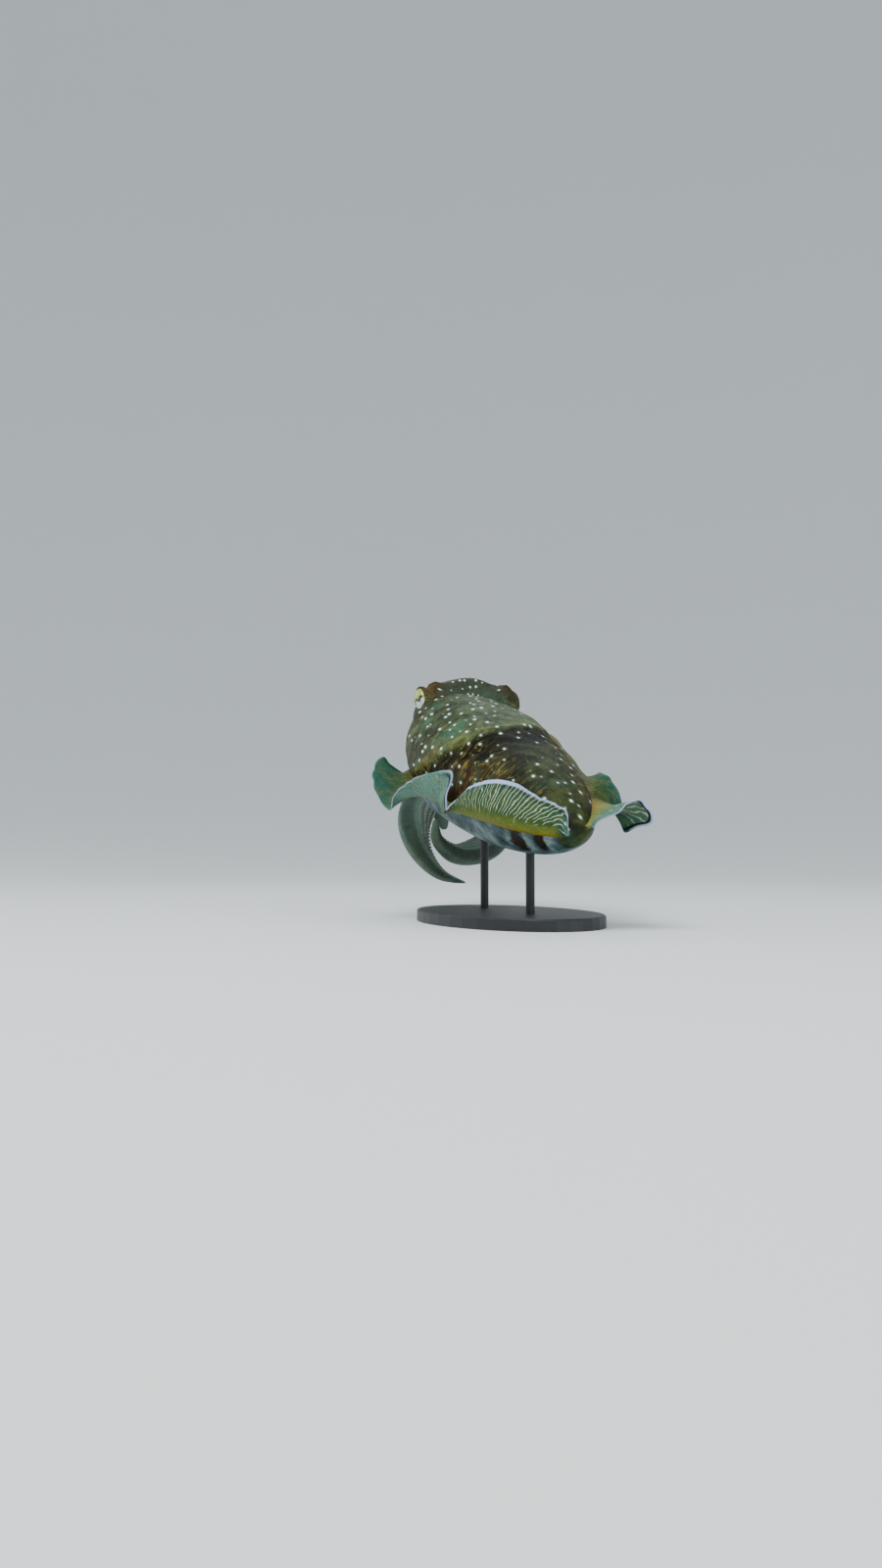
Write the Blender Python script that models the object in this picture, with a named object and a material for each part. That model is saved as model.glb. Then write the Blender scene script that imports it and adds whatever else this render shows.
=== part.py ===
"""Broadclub cuttlefish hovering tail-on, as a still museum model on a plain stand.

The row's frame: the animal faces +X, its left is +Y, up is +Z, metres. The origin is
the centre of the underside of the stand's base. Body shapes are written in shares of
the mantle length and then scaled, pitched and banked into place.
"""
import math

import bmesh
import bpy
import numpy as np
from mathutils import Vector

MM = 0.001
MANTLE_LENGTH = 0.360
GAP = 0.3 * MM                 # gap left between neighbouring bodies

BODY_PITCH = math.radians(18.8)   # nose up
BODY_BANK = math.radians(26.1)    # left side down
TAIL_SHARE_BACK = 0.50            # share of the body length behind the stand's centre
TAIL_HEIGHT = 0.092               # tail tip above the floor

# mantle: half width, height above and depth below its middle line, in mantle lengths
MANTLE_WIDE = (0.214, 0.72, 1.22, 0.150)    # size, place of the widest, bluntness, taper
MANTLE_TALL = (0.149, 0.624, 1.571, 0.12)
MANTLE_DEEP = (0.172, 0.472, 1.352, 0.25)
TOP_POWER = 1.20
BOTTOM_POWER = 0.711
FRONT_LOBE = 0.10              # how far the sides of the front margin sit back
FRONT_NOTCH = 0.04             # a little more set back below
FRONT_SWERVE = -0.004          # the front of the mantle swings to the right
FRONT_LIFT = 0.010
LIP = 0.020                    # thickness of the mantle's free front margin
COLLAR_DEPTH = 0.055
MANTLE_RINGS = 24
MANTLE_SIDES = 32

# head: its own frame, forward +x, left +y, up +z, in mantle lengths
HEAD_AT = (1.065, -0.094, 0.050)
HEAD_TURN = math.radians(0.0)
HEAD_RAISE = math.radians(8.0)
HEAD_X = (-0.06, -0.02, 0.02, 0.06, 0.10, 0.135, 0.16)
HEAD_WIDE = (0.152, 0.154, 0.152, 0.145, 0.133, 0.122, 0.114)
HEAD_TOP = (0.090, 0.093, 0.093, 0.091, 0.089, 0.087, 0.086)
HEAD_LOW = (0.104, 0.108, 0.108, 0.106, 0.102, 0.098, 0.094)
HEAD_SIDES = 32
EYE_AT = (-0.010, 0.153, 0.026)
EYE_SIZE = (0.038, 0.027, 0.036)
EYE_MOUND = 0.020
BROW_RISE = 0.018
BROW_AT = (-0.020, 0.92)       # place along the head, angle up from the side

# arms: sizes in mantle lengths, points in the head's frame
CROWN_X = 0.135
CROWN_WIDE = 0.088
CROWN_TALL = 0.076
ARM_SIDES = 8
ARM_RINGS = 9                 # rings in each of an arm's two lengths
ORAL_TARGET = (0.0, 0.0, -0.30)   # the suckers look toward this place
SUCKERS = True
SUCKER_PAIRS = 5               # in each of an arm's two lengths
SUCKER_SIDES = 5

# each arm: crown angle from the top in degrees (left is plus), bends, radius, flatness
ARMS = {
    "arm_left_1": (25, ((.235, .037, .050), (.30, .030, -.02), (.335, .024, -.12), (.31, .015, -.23)),
                   (.028, .030, .026, .017, .004), .85),
    "arm_left_2": (68, ((.230, .086, .018), (.272, .066, -.07), (.272, .052, -.165), (.245, .045, -.255)),
                   (.028, .031, .027, .018, .004), .85),
    "arm_left_3": (112, ((.188, .104, -.095), (.172, .074, -.19), (.136, .084, -.298), (.080, .130, -.396),
                         (.009, .116, -.494), (-.041, .070, -.550), (-.084, -.011, -.577)),
                   (.028, .048, .062, .062, .036, .004), .92),
    "arm_left_4": (157, ((.192, .024, -.125), (.240, -.008, -.21), (.230, -.030, -.32), (.200, -.056, -.43)),
                   (.028, .032, .035, .033, .010), .85),
    "arm_right_4": (-157, ((.200, -.040, -.13), (.220, -.118, -.224), (.183, -.199, -.356),
                           (.113, -.173, -.450), (.040, -.063, -.490), (-.020, .036, -.475),
                           (-.048, .088, -.423), (-.063, .084, -.360)),
                    (.028, .040, .052, .060, .040, .010), .85),
    "arm_right_3": (-112, ((.215, -.092, -.05), (.27, -.10, -.13), (.28, -.095, -.21), (.25, -.085, -.29)),
                    (.028, .031, .027, .018, .004), .85),
    "arm_right_2": (-68, ((.235, -.080, .018), (.305, -.072, -.03), (.338, -.058, -.12), (.33, -.050, -.21)),
                    (.028, .031, .027, .018, .004), .85),
    "arm_right_1": (-25, ((.24, -.034, .050), (.33, -.018, .005), (.385, .000, -.08), (.385, .006, -.18)),
                    (.028, .030, .026, .017, .004), .85),
}

# fins: share along the base from the front, then how far the free edge stands out, up
# and forward of the base, in mantle lengths
FIN_FRONT = 0.93
FIN_REAR = 0.008
FIN_ROOT = 0.008               # half the root's thickness
FIN_EDGE = 0.0016              # half the free edge's thickness
FIN_STRIDE = 0.042             # the widest gap left between two of a fin's stations
FIN_ACROSS = 5
FIN_PARTS = (0.0, 0.36, 0.68, 1.0)
FIN_BOW = {1: 0.060, -1: 0.016}   # how far the middle of each fin bows outward
FIN_OVERRUN = 0.008            # a length starts this much early and is cut by the one before
FIN_LEFT = (
    (0.00, .020, .000, .000), (0.05, .046, .053, .035), (0.09, .060, .094, .036),
    (0.13, .101, .085, .025), (0.16, .121, .058, .010), (0.19, .126, .011, -.005),
    (0.215, .112, -.018, -.012), (0.25, .096, .035, -.022), (0.28, .076, .062, -.032),
    (0.32, .047, .089, -.042), (0.36, .021, .108, -.055), (0.395, .003, .117, -.068),
    (0.425, -.016, .124, -.078), (0.445, -.028, .115, -.080), (0.465, .012, .072, -.078),
    (0.485, .036, .032, -.072), (0.50, .022, .043, -.065), (0.56, -.020, .080, -.045),
    (0.65, -.040, .100, -.010), (0.745, -.054, .107, .018), (0.83, -.057, .101, .020),
    (0.90, -.048, .084, .008), (0.95, -.042, .065, -.002), (0.985, -.010, .035, -.012),
    (1.00, .022, .014, -.010))
FIN_RIGHT = (
    (0.00, .020, .000, .000), (0.06, .020, -.055, .010), (0.16, -.025, -.105, .000),
    (0.26, -.005, -.110, .010), (0.36, -.035, -.105, .000), (0.48, -.035, -.105, -.010),
    (0.58, -.030, -.095, .000), (0.65, -.012, -.070, .015), (0.70, .020, -.038, .022),
    (0.74, .058, -.003, .025), (0.775, .081, -.025, .020), (0.81, .084, -.089, .010),
    (0.84, .062, -.140, .000), (0.865, .092, -.118, -.025), (0.89, .130, -.095, -.052),
    (0.91, .126, -.040, -.060), (0.93, .106, .006, -.065), (0.945, .076, .018, -.062),
    (0.96, .054, .006, -.052), (0.975, .032, .008, -.038), (0.99, .018, .006, -.020),
    (1.00, .014, -.004, -.010))

# stand
BASE_LONG = 0.300
BASE_WIDE = 0.170
BASE_THICK = 0.012
BASE_SHIFT = 0.0
ROD_RADIUS = 0.0045
ROD_SHARES = (0.34, 0.70)      # where along the mantle the two rods reach the belly


for item in list(bpy.data.objects):
    bpy.data.objects.remove(item, do_unlink=True)


def axes(turn, pitch, bank):
    """Forward, left and up directions as the columns of a matrix."""
    forward = np.array([math.cos(turn) * math.cos(pitch), math.sin(turn) * math.cos(pitch),
                        math.sin(pitch)])
    level = np.array([-math.sin(turn), math.cos(turn), 0.0])
    upright = np.cross(forward, level)
    left = level * math.cos(bank) - upright * math.sin(bank)
    return np.stack([forward, left, np.cross(forward, left)], 1)


BODY_AXES = axes(0.0, BODY_PITCH, BODY_BANK)
HEAD_AXES = axes(HEAD_TURN, HEAD_RAISE, 0.0)
BODY_ORIGIN = np.array([-TAIL_SHARE_BACK * MANTLE_LENGTH * math.cos(BODY_PITCH), 0.0, TAIL_HEIGHT])
HEAD_ORIGIN = BODY_ORIGIN + BODY_AXES @ (np.array(HEAD_AT) * MANTLE_LENGTH)


def body_place(points):
    return np.asarray(points, float) * MANTLE_LENGTH @ BODY_AXES.T + BODY_ORIGIN


def head_place(points):
    return np.asarray(points, float) * MANTLE_LENGTH @ HEAD_AXES.T + HEAD_ORIGIN


def smooth(x, xs, ys):
    """Smooth curve through the stations (xs, ys); ys may be rows of several values."""
    x = np.atleast_1d(np.asarray(x, float))
    xs = np.asarray(xs, float)
    ys = np.asarray(ys, float)
    step = np.diff(xs)
    shape = (-1,) + (1,) * (ys.ndim - 1)
    rise = np.diff(ys, axis=0) / step.reshape(shape)
    inner = (rise[1:] * step[:-1].reshape(shape) + rise[:-1] * step[1:].reshape(shape))
    inner = inner / (step[1:] + step[:-1]).reshape(shape)
    slope = np.concatenate([rise[:1], inner, rise[-1:]])
    i = np.clip(np.searchsorted(xs, x) - 1, 0, len(step) - 1)
    t = np.clip((x - xs[i]) / step[i], 0, 1).reshape(shape)
    h = step[i].reshape(shape)
    return (ys[i] * (2 * t**3 - 3 * t**2 + 1) + h * slope[i] * (t**3 - 2 * t**2 + t)
            + ys[i + 1] * (3 * t**2 - 2 * t**3) + h * slope[i + 1] * (t**3 - t**2))


def swell(x, spec):
    """Half size along the mantle: rounded at the tail, widest at a place, then tapering."""
    size, widest, blunt, taper = spec
    rear = np.sqrt(np.clip(1 - np.clip(1 - x / widest, 0, 1) ** blunt, 0, 1))
    front = np.clip((x - widest) / (1 - widest), 0, 1)
    return size * rear * (1 - taper * front**2)


def mantle_point(x, angle, shrink=0.0):
    """Point on the mantle; angle 0 is the left side, a quarter turn is the back."""
    x, angle = np.broadcast_arrays(np.asarray(x, float), np.asarray(angle, float))
    wide = np.maximum(swell(x, MANTLE_WIDE) - shrink, 0)
    tall = np.maximum(swell(x, MANTLE_TALL) - shrink, 0)
    deep = np.maximum(swell(x, MANTLE_DEEP) - shrink, 0)
    c, s = np.cos(angle), np.sin(angle)
    z = np.where(s > 0, tall * np.abs(s) ** TOP_POWER, -deep * np.abs(s) ** BOTTOM_POWER)
    back = np.where(s > 0, FRONT_LOBE * (1 - s), FRONT_LOBE - FRONT_NOTCH * s)
    return np.stack([x * (1 - back * x**2), wide * c + FRONT_SWERVE * x**3,
                     z + FRONT_LIFT * x**3], -1)


def loft(name, rings, first=None, last=None):
    """Closed body through rings of equal length, ends closed on a middle point."""
    count = len(rings[0])
    points = [p for ring in rings for p in ring]
    faces = []
    for i in range(len(rings) - 1):
        for j in range(count):
            a = i * count + j
            b = i * count + (j + 1) % count
            faces.append((a, b, b + count, a + count))
    points.append(np.mean(rings[0], axis=0) if first is None else first)
    points.append(np.mean(rings[-1], axis=0) if last is None else last)
    end = (len(rings) - 1) * count
    for j in range(count):
        faces.append((j, len(points) - 2, (j + 1) % count))
        faces.append((end + j, end + (j + 1) % count, len(points) - 1))
    return solid(name, points, faces)


def solid(name, points, faces):
    """One object from points and faces, triangles, facing out."""
    mesh = bpy.data.meshes.new(name)
    mesh.from_pydata([tuple(float(c) for c in p) for p in points], [], faces)
    obj = bpy.data.objects.new(name, mesh)
    bpy.context.scene.collection.objects.link(obj)
    tidy(obj)
    return obj


def tidy(obj):
    """Weld doubles, drop slivers, split into triangles and turn every face outward."""
    work = bmesh.new()
    work.from_mesh(obj.data)
    bmesh.ops.remove_doubles(work, verts=work.verts, dist=0.00002)
    bmesh.ops.dissolve_degenerate(work, edges=work.edges, dist=0.00002)
    rims = [edge for edge in work.edges if len(edge.link_faces) == 1]
    bmesh.ops.holes_fill(work, edges=rims, sides=0)
    bmesh.ops.triangulate(work, faces=work.faces, quad_method="BEAUTY", ngon_method="BEAUTY")
    bmesh.ops.recalc_face_normals(work, faces=work.faces)
    keep_largest(work)
    if work.calc_volume(signed=True) < 0:
        bmesh.ops.reverse_faces(work, faces=work.faces)
    work.to_mesh(obj.data)
    work.free()


def keep_largest(work):
    """Keep only the connected surface with the most faces."""
    left = set(work.faces)
    best = set()
    while left:
        seed = next(iter(left))
        left.discard(seed)
        group = {seed}
        queue = [seed]
        while queue:
            face = queue.pop()
            for edge in face.edges:
                for other in edge.link_faces if len(edge.link_faces) == 2 else ():
                    if other in left:
                        left.discard(other)
                        group.add(other)
                        queue.append(other)
        if len(group) > len(best):
            best = group
    extra = [f for f in work.faces if f not in best]
    bmesh.ops.delete(work, geom=extra, context="FACES")
    loose = [v for v in work.verts if not v.link_faces]
    bmesh.ops.delete(work, geom=loose, context="VERTS")


def grown(obj, amount):
    """A copy pushed out along its normals, to cut a neighbour with a gap."""
    copy = bpy.data.objects.new("cutter_" + obj.name, obj.data.copy())
    bpy.context.scene.collection.objects.link(copy)
    work = bmesh.new()
    work.from_mesh(copy.data)
    work.normal_update()
    moved = []
    for vert in work.verts:
        least = min(vert.normal.dot(face.normal) for face in vert.link_faces)
        moved.append((vert, vert.co + vert.normal * amount / max(least, 0.6)))
    for vert, place in moved:
        vert.co = place
    work.to_mesh(copy.data)
    work.free()
    return copy


def boolean(obj, others, kind):
    """Apply one Boolean of a collection of closed meshes and remove that collection."""
    group = bpy.data.collections.new("cutters")
    bpy.context.scene.collection.children.link(group)
    for other in others:
        for home in list(other.users_collection):
            home.objects.unlink(other)
        group.objects.link(other)
    step = obj.modifiers.new("join", "BOOLEAN")
    step.operation = kind
    step.operand_type = "COLLECTION"
    step.collection = group
    step.solver = "EXACT"
    bpy.context.view_layer.update()
    graph = bpy.context.evaluated_depsgraph_get()
    mesh = bpy.data.meshes.new_from_object(obj.evaluated_get(graph))
    obj.modifiers.remove(step)
    obj.data = mesh
    for other in others:
        bpy.data.objects.remove(other, do_unlink=True)
    bpy.data.collections.remove(group)
    tidy(obj)


def cut(obj, others):
    boolean(obj, [grown(other, GAP) for other in others], "DIFFERENCE")


def build_mantle():
    """Cone-like mantle with a free front margin that dips in as a collar."""
    angle = np.linspace(0, 2 * math.pi, MANTLE_SIDES, endpoint=False)
    share = np.linspace(0, 1, MANTLE_RINGS + 1)[1:]
    places = 0.012 + 0.988 * (0.55 * share + 0.45 * share**1.6)
    rings = [body_place(mantle_point(np.full_like(angle, x), angle)) for x in places]
    lip = mantle_point(np.ones_like(angle), angle, LIP)
    lip[:, 0] -= 0.004
    rings.append(body_place(lip))
    for deep, narrow in ((0.6, 1.05), (1.0, 1.5)):
        inner = mantle_point(np.ones_like(angle), angle, LIP * narrow)
        inner[:, 0] -= COLLAR_DEPTH * deep
        rings.append(body_place(inner))
    floor = np.mean(rings[-1], axis=0)
    tail = body_place([0.0, 0.0, 0.0])
    return loft("mantle", rings, tail, floor)


def head_point(x, angle):
    """Point on the head with its eye mounds and brows."""
    x, angle = np.broadcast_arrays(np.asarray(x, float), np.asarray(angle, float))
    wide = smooth(x.ravel(), HEAD_X, HEAD_WIDE).reshape(x.shape)
    top = smooth(x.ravel(), HEAD_X, HEAD_TOP).reshape(x.shape)
    low = smooth(x.ravel(), HEAD_X, HEAD_LOW).reshape(x.shape)
    c, s = np.cos(angle), np.sin(angle)
    y = wide * np.sign(c) * np.abs(c) ** 0.9
    z = np.where(s > 0, top, low) * np.sign(s) * np.abs(s) ** 0.95
    side = np.arctan2(s, np.abs(c))
    mound = np.exp(-((x - EYE_AT[0]) / 0.050) ** 2 - ((side - 0.25) / 0.50) ** 2)
    brow = np.exp(-((x - BROW_AT[0]) / 0.040) ** 2 - ((side - BROW_AT[1]) / 0.28) ** 2)
    push = 1 + (EYE_MOUND * mound / 0.15)
    y = y * push
    z = z * push + BROW_RISE * brow
    return np.stack([x, y, z], -1)


def build_head():
    """Neck that fills the mantle's front, then the head proper and the arm crown."""
    angle = np.linspace(0, 2 * math.pi, HEAD_SIDES, endpoint=False)
    rings = []
    for x, narrow in ((0.90, 1.9), (0.955, 1.7), (1.0, 1.5)):
        inner = mantle_point(np.ones_like(angle), angle, LIP * narrow)
        inner[:, 0] += x - 1.0
        rings.append(body_place(inner))
    neck = rings[-1]
    first = head_place(head_point(np.full_like(angle, -0.045), angle))
    rings.append(0.45 * neck + 0.55 * first)
    rings += [head_place(head_point(np.full_like(angle, x), angle))
              for x in (-0.022, 0.0, 0.020, 0.042, 0.066, 0.092, 0.118, 0.142, 0.160)]
    for x, narrow in ((0.170, 0.92), (0.174, 0.70)):
        ring = head_point(np.full_like(angle, 0.16), angle) * narrow
        ring[:, 0] = x
        rings.append(head_place(ring))
    return loft("head", rings, None, head_place([0.166, 0, 0]))


def build_eye(name, side):
    """Eyeball, set in the head with only its outer part showing."""
    work = bmesh.new()
    bmesh.ops.create_uvsphere(work, u_segments=16, v_segments=8, radius=1.0)
    mesh = bpy.data.meshes.new(name)
    centre = np.array([EYE_AT[0], side * EYE_AT[1], EYE_AT[2]])
    for vert in work.verts:
        place = centre + np.array([vert.co.x * EYE_SIZE[0], vert.co.z * EYE_SIZE[1],
                                   vert.co.y * EYE_SIZE[2]])
        vert.co = Vector(head_place(place))
    work.to_mesh(mesh)
    work.free()
    obj = bpy.data.objects.new(name, mesh)
    bpy.context.scene.collection.objects.link(obj)
    tidy(obj)
    return obj


def fin_edge(table, share):
    rows = np.array(table)
    return smooth(share, rows[:, 0], rows[:, 1:])


def fin_middle(table, side, share, across):
    """Middle surface of a fin: base on the mantle's side, bowed out to the free edge."""
    share, across = np.broadcast_arrays(share, across)
    along = FIN_FRONT + (FIN_REAR - FIN_FRONT) * share
    angle = 0.0 if side > 0 else math.pi
    base = mantle_point(along, np.full_like(along, angle))
    out, up, fore = np.moveaxis(fin_edge(table, share.ravel()).reshape(share.shape + (3,)), -1, 0)
    bow = np.maximum(FIN_BOW[side], 0.6 * out + 0.030) * np.clip((1.06 - share) / 0.25, 0.3, 1)
    v = across
    push_out = 2 * v * (1 - v) * bow + v**2 * out - 0.012 * (1 - v) ** 4
    push_up = 2 * v * (1 - v) * 0.30 * up + v**2 * up
    push_fore = 2 * v * (1 - v) * 0.45 * fore + v**2 * fore
    return np.stack([base[..., 0] + push_fore, base[..., 1] + side * push_out,
                     base[..., 2] + push_up], -1)


def fin_stations(table, start, stop):
    """The table's own stations between start and stop, wide gaps halved."""
    keys = [row[0] for row in table if start + 0.012 < row[0] < stop - 0.006]
    keys = [start] + keys + [stop]
    halves = [(a + b) / 2 for a, b in zip(keys, keys[1:]) if b - a > FIN_STRIDE]
    return np.array(sorted(keys + halves))


def build_fin(name, table, side, start, stop):
    """One length of a fin, split into triangles alike on both faces."""
    share = fin_stations(table, start, stop)
    across = np.linspace(0, 1, FIN_ACROSS + 1)
    s, v = np.meshgrid(share, across, indexing="ij")
    d = 0.004
    lo_s, hi_s = np.clip(s - d, 0, 1), np.clip(s + d, 0, 1)
    mid = body_place(fin_middle(table, side, s, v))
    ds = body_place(fin_middle(table, side, hi_s, v)) - body_place(fin_middle(table, side, lo_s, v))
    dv = (body_place(fin_middle(table, side, s, np.clip(v + 0.02, 0, 1)))
          - body_place(fin_middle(table, side, s, np.clip(v - 0.02, 0, 1))))
    normal = np.cross(ds, dv)
    normal /= np.maximum(np.linalg.norm(normal, axis=-1, keepdims=True), 1e-12)
    thick = FIN_ROOT * (1 - v) ** 1.5 + FIN_EDGE * (1 - (1 - v) ** 1.5)
    half = normal * (thick * MANTLE_LENGTH)[..., None]
    rows, cols = s.shape
    points = np.concatenate([(mid + half).reshape(-1, 3), (mid - half).reshape(-1, 3)])
    under = rows * cols
    faces = []
    for i in range(rows - 1):
        for j in range(cols - 1):
            a = i * cols + j
            quad = (a, a + 1, a + cols + 1, a + cols)
            faces.append((quad[0], quad[1], quad[2]))
            faces.append((quad[0], quad[2], quad[3]))
            faces.append((quad[2] + under, quad[1] + under, quad[0] + under))
            faces.append((quad[3] + under, quad[2] + under, quad[0] + under))
    border = [(i, 0) for i in range(rows)] + [(rows - 1, j) for j in range(1, cols)]
    border += [(i, cols - 1) for i in range(rows - 2, -1, -1)]
    border += [(0, j) for j in range(cols - 2, 0, -1)]
    for k, (i, j) in enumerate(border):
        m, n = border[(k + 1) % len(border)]
        a, b = i * cols + j, m * cols + n
        faces.append((a, b, b + under))
        faces.append((a, b + under, a + under))
    return solid(name, points, faces)


def arm_frames(name, t):
    """Middle line, side and sucker directions and half sizes at shares t of an arm."""
    turn, bends, radii, flat = ARMS[name]
    around = math.radians(turn)
    base = np.array([CROWN_X, CROWN_WIDE * math.sin(around), CROWN_TALL * math.cos(around)])
    root = base + np.array([0.045, 0, 0]) * 1.0
    path = np.array([base, root] + list(bends))
    steps = np.linalg.norm(np.diff(path, axis=0), axis=1)
    shares = np.concatenate([[0], np.cumsum(steps)]) / steps.sum()
    middle = smooth(t, shares, path)
    ahead = smooth(np.clip(t + 0.004, 0, 1), shares, path)
    behind = smooth(np.clip(t - 0.004, 0, 1), shares, path)
    tangent = ahead - behind
    tangent /= np.linalg.norm(tangent, axis=1, keepdims=True)
    toward = np.array(ORAL_TARGET) - middle
    toward -= (toward * tangent).sum(1, keepdims=True) * tangent
    toward /= np.linalg.norm(toward, axis=1, keepdims=True)
    across = np.cross(tangent, toward)
    wide = smooth(t, np.linspace(0, 1, len(radii)), radii)
    deep = wide * (1 + (flat - 1) * np.clip(np.asarray(t) * 4, 0, 1))
    return middle, tangent, toward, across, wide, deep


def arm_ring(frame, i, angle):
    middle, _, toward, across, wide, deep = frame
    c, s = np.cos(angle), np.sin(angle)
    low = np.where(s > 0, 0.80, 1.0)
    return (middle[i] + wide[i] * c[:, None] * across[i]
            + (deep[i] * s * low)[:, None] * toward[i])


def build_arm(name, part):
    """One of the two lengths of an arm, with its suckers if they are wanted."""
    angle = np.linspace(0, 2 * math.pi, ARM_SIDES, endpoint=False)
    t = np.linspace(0, 0.5, ARM_RINGS) if part == "base" else np.linspace(0.5, 1, ARM_RINGS)
    frame = arm_frames(name, t)
    rings = [head_place(arm_ring(frame, i, angle)) for i in range(len(t))]
    push = HEAD_AXES @ frame[1][-1 if part == "base" else 0] * GAP / 2
    if part == "base":
        rings[-1] = rings[-1] - push
    else:
        rings[0] = rings[0] + push
    obj = loft(name + "_" + part, rings)
    if SUCKERS:
        add_suckers(obj, name, part)
    return obj


def add_suckers(obj, name, part):
    """Two rows of stalked cups on the inner face, sunk in and fused."""
    lo, hi = (0.14, 0.450) if part == "base" else (0.550, 0.965)
    shares = np.linspace(lo, hi, SUCKER_PAIRS)
    frame = arm_frames(name, shares)
    middle, tangent, toward, across, wide, deep = frame
    cups = []
    turn = np.linspace(0, 2 * math.pi, SUCKER_SIDES, endpoint=False)
    for i in range(len(shares)):
        for side in (-1, 1):
            size = 0.29 * wide[i] + 0.0012
            seat = (middle[i] + across[i] * side * 0.42 * wide[i]
                    + toward[i] * deep[i] * 0.80 * 0.90)
            up = toward[i] + across[i] * side * 0.25
            up /= np.linalg.norm(up)
            one = np.cross(up, tangent[i])
            one /= np.linalg.norm(one)
            two = np.cross(up, one)
            ringed = []
            for height, radius in ((-0.9, 0.80), (0.85, 1.0)):
                ringed.append(head_place(seat + up * height * size + radius * size
                                         * (np.cos(turn)[:, None] * one + np.sin(turn)[:, None] * two)))
            cups.append(loft("cup", ringed, None, head_place(seat + up * 0.35 * size)))
    boolean(obj, cups, "UNION")


def build_funnel():
    """Short siphon under the neck, open at its front."""
    angle = np.linspace(0, 2 * math.pi, 18, endpoint=False)
    path = np.array([(-0.10, 0.030, -0.095), (-0.05, 0.022, -0.118), (0.0, 0.012, -0.134),
                     (0.045, 0.006, -0.146), (0.080, 0.002, -0.160)])
    radii = (0.050, 0.048, 0.043, 0.034, 0.027)
    rings = []
    for i, (centre, radius) in enumerate(zip(path, radii)):
        ahead = path[min(i + 1, 4)] - path[max(i - 1, 0)]
        ahead /= np.linalg.norm(ahead)
        side = np.cross([0, 0, 1.0], ahead)
        side /= np.linalg.norm(side)
        up = np.cross(ahead, side)
        rings.append(centre + radius * (np.cos(angle)[:, None] * side
                                        + 0.8 * np.sin(angle)[:, None] * up))
    for back, narrow in ((0.000, 0.78), (0.022, 0.60)):
        rings.append(path[-1] - back * ahead + (rings[4] - path[-1]) * narrow)
    return loft("funnel", [head_place(ring) for ring in rings])


def build_base():
    """Flat rounded base plate."""
    work = bmesh.new()
    bmesh.ops.create_cone(work, cap_ends=True, cap_tris=False, segments=40, radius1=1.0,
                          radius2=1.0, depth=1.0)
    for vert in work.verts:
        vert.co.x = vert.co.x * BASE_LONG / 2 + BASE_SHIFT
        vert.co.y *= BASE_WIDE / 2
        vert.co.z = (vert.co.z + 0.5) * BASE_THICK
    rim = [e for e in work.edges if all(v.co.z > BASE_THICK * 0.9 for v in e.verts)]
    bmesh.ops.bevel(work, geom=rim, offset=0.0015, segments=1, affect="EDGES", profile=0.5)
    mesh = bpy.data.meshes.new("stand_base")
    work.to_mesh(mesh)
    work.free()
    obj = bpy.data.objects.new("stand_base", mesh)
    bpy.context.scene.collection.objects.link(obj)
    tidy(obj)
    return obj


def build_rod(name, share):
    """Upright rod from the base to the belly."""
    top = body_place([share, 0, -0.02])
    work = bmesh.new()
    bmesh.ops.create_cone(work, cap_ends=True, cap_tris=False, segments=16,
                          radius1=ROD_RADIUS, radius2=ROD_RADIUS, depth=1.0)
    low = BASE_THICK + GAP
    for vert in work.verts:
        vert.co.x += top[0]
        vert.co.y += top[1]
        vert.co.z = low + (vert.co.z + 0.5) * (top[2] - low)
    mesh = bpy.data.meshes.new(name)
    work.to_mesh(mesh)
    work.free()
    obj = bpy.data.objects.new(name, mesh)
    bpy.context.scene.collection.objects.link(obj)
    tidy(obj)
    return obj


SLOTS = {
    "skin": ((0.16, 0.17, 0.10, 1), 0.45),
    "fin": ((0.32, 0.36, 0.16, 1), 0.40),
    "arm": ((0.20, 0.24, 0.19, 1), 0.45),
    "eye": ((0.05, 0.06, 0.04, 1), 0.12),
    "steel": ((0.03, 0.03, 0.035, 1), 0.50),
}


def finish(obj, slot):
    """Give the node its material and its own collection."""
    material = bpy.data.materials.get(slot)
    if material is None:
        material = bpy.data.materials.new(slot)
        material.use_nodes = True
        shader = material.node_tree.nodes["Principled BSDF"]
        shader.inputs["Base Color"].default_value = SLOTS[slot][0]
        shader.inputs["Roughness"].default_value = SLOTS[slot][1]
    obj.data.materials.clear()
    obj.data.materials.append(material)
    home = bpy.data.collections.new(obj.name)
    bpy.context.scene.collection.children.link(home)
    for other in list(obj.users_collection):
        other.objects.unlink(obj)
    home.objects.link(obj)


mantle = build_mantle()
head = build_head()
eyes = [build_eye("eye_left", 1), build_eye("eye_right", -1)]
cut(head, [mantle] + eyes)
funnel = build_funnel()
cut(funnel, [mantle, head])
arms = []
for arm_name in ARMS:
    arm_base = build_arm(arm_name, "base")
    cut(arm_base, [head] + arms[-2:-1])
    arms += [arm_base, build_arm(arm_name, "tip")]
fins = []
for fin_name, rows, hand in (("fin_left", FIN_LEFT, 1), ("fin_right", FIN_RIGHT, -1)):
    for k in range(3):
        begin = FIN_PARTS[k] - (FIN_OVERRUN if k else 0)
        fin = build_fin(fin_name + "_" + str(k + 1), rows, hand, begin, FIN_PARTS[k + 1])
        touching = [mantle] + (fins[-1:] if k else [])
        if len(fins) == 5:
            touching.append(fins[2])
        cut(fin, touching)
        fins.append(fin)
stand = [build_base()]
for k, rod_share in enumerate(ROD_SHARES):
    rod = build_rod("stand_rod_" + str(k + 1), rod_share)
    cut(rod, [mantle])
    stand.append(rod)

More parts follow.
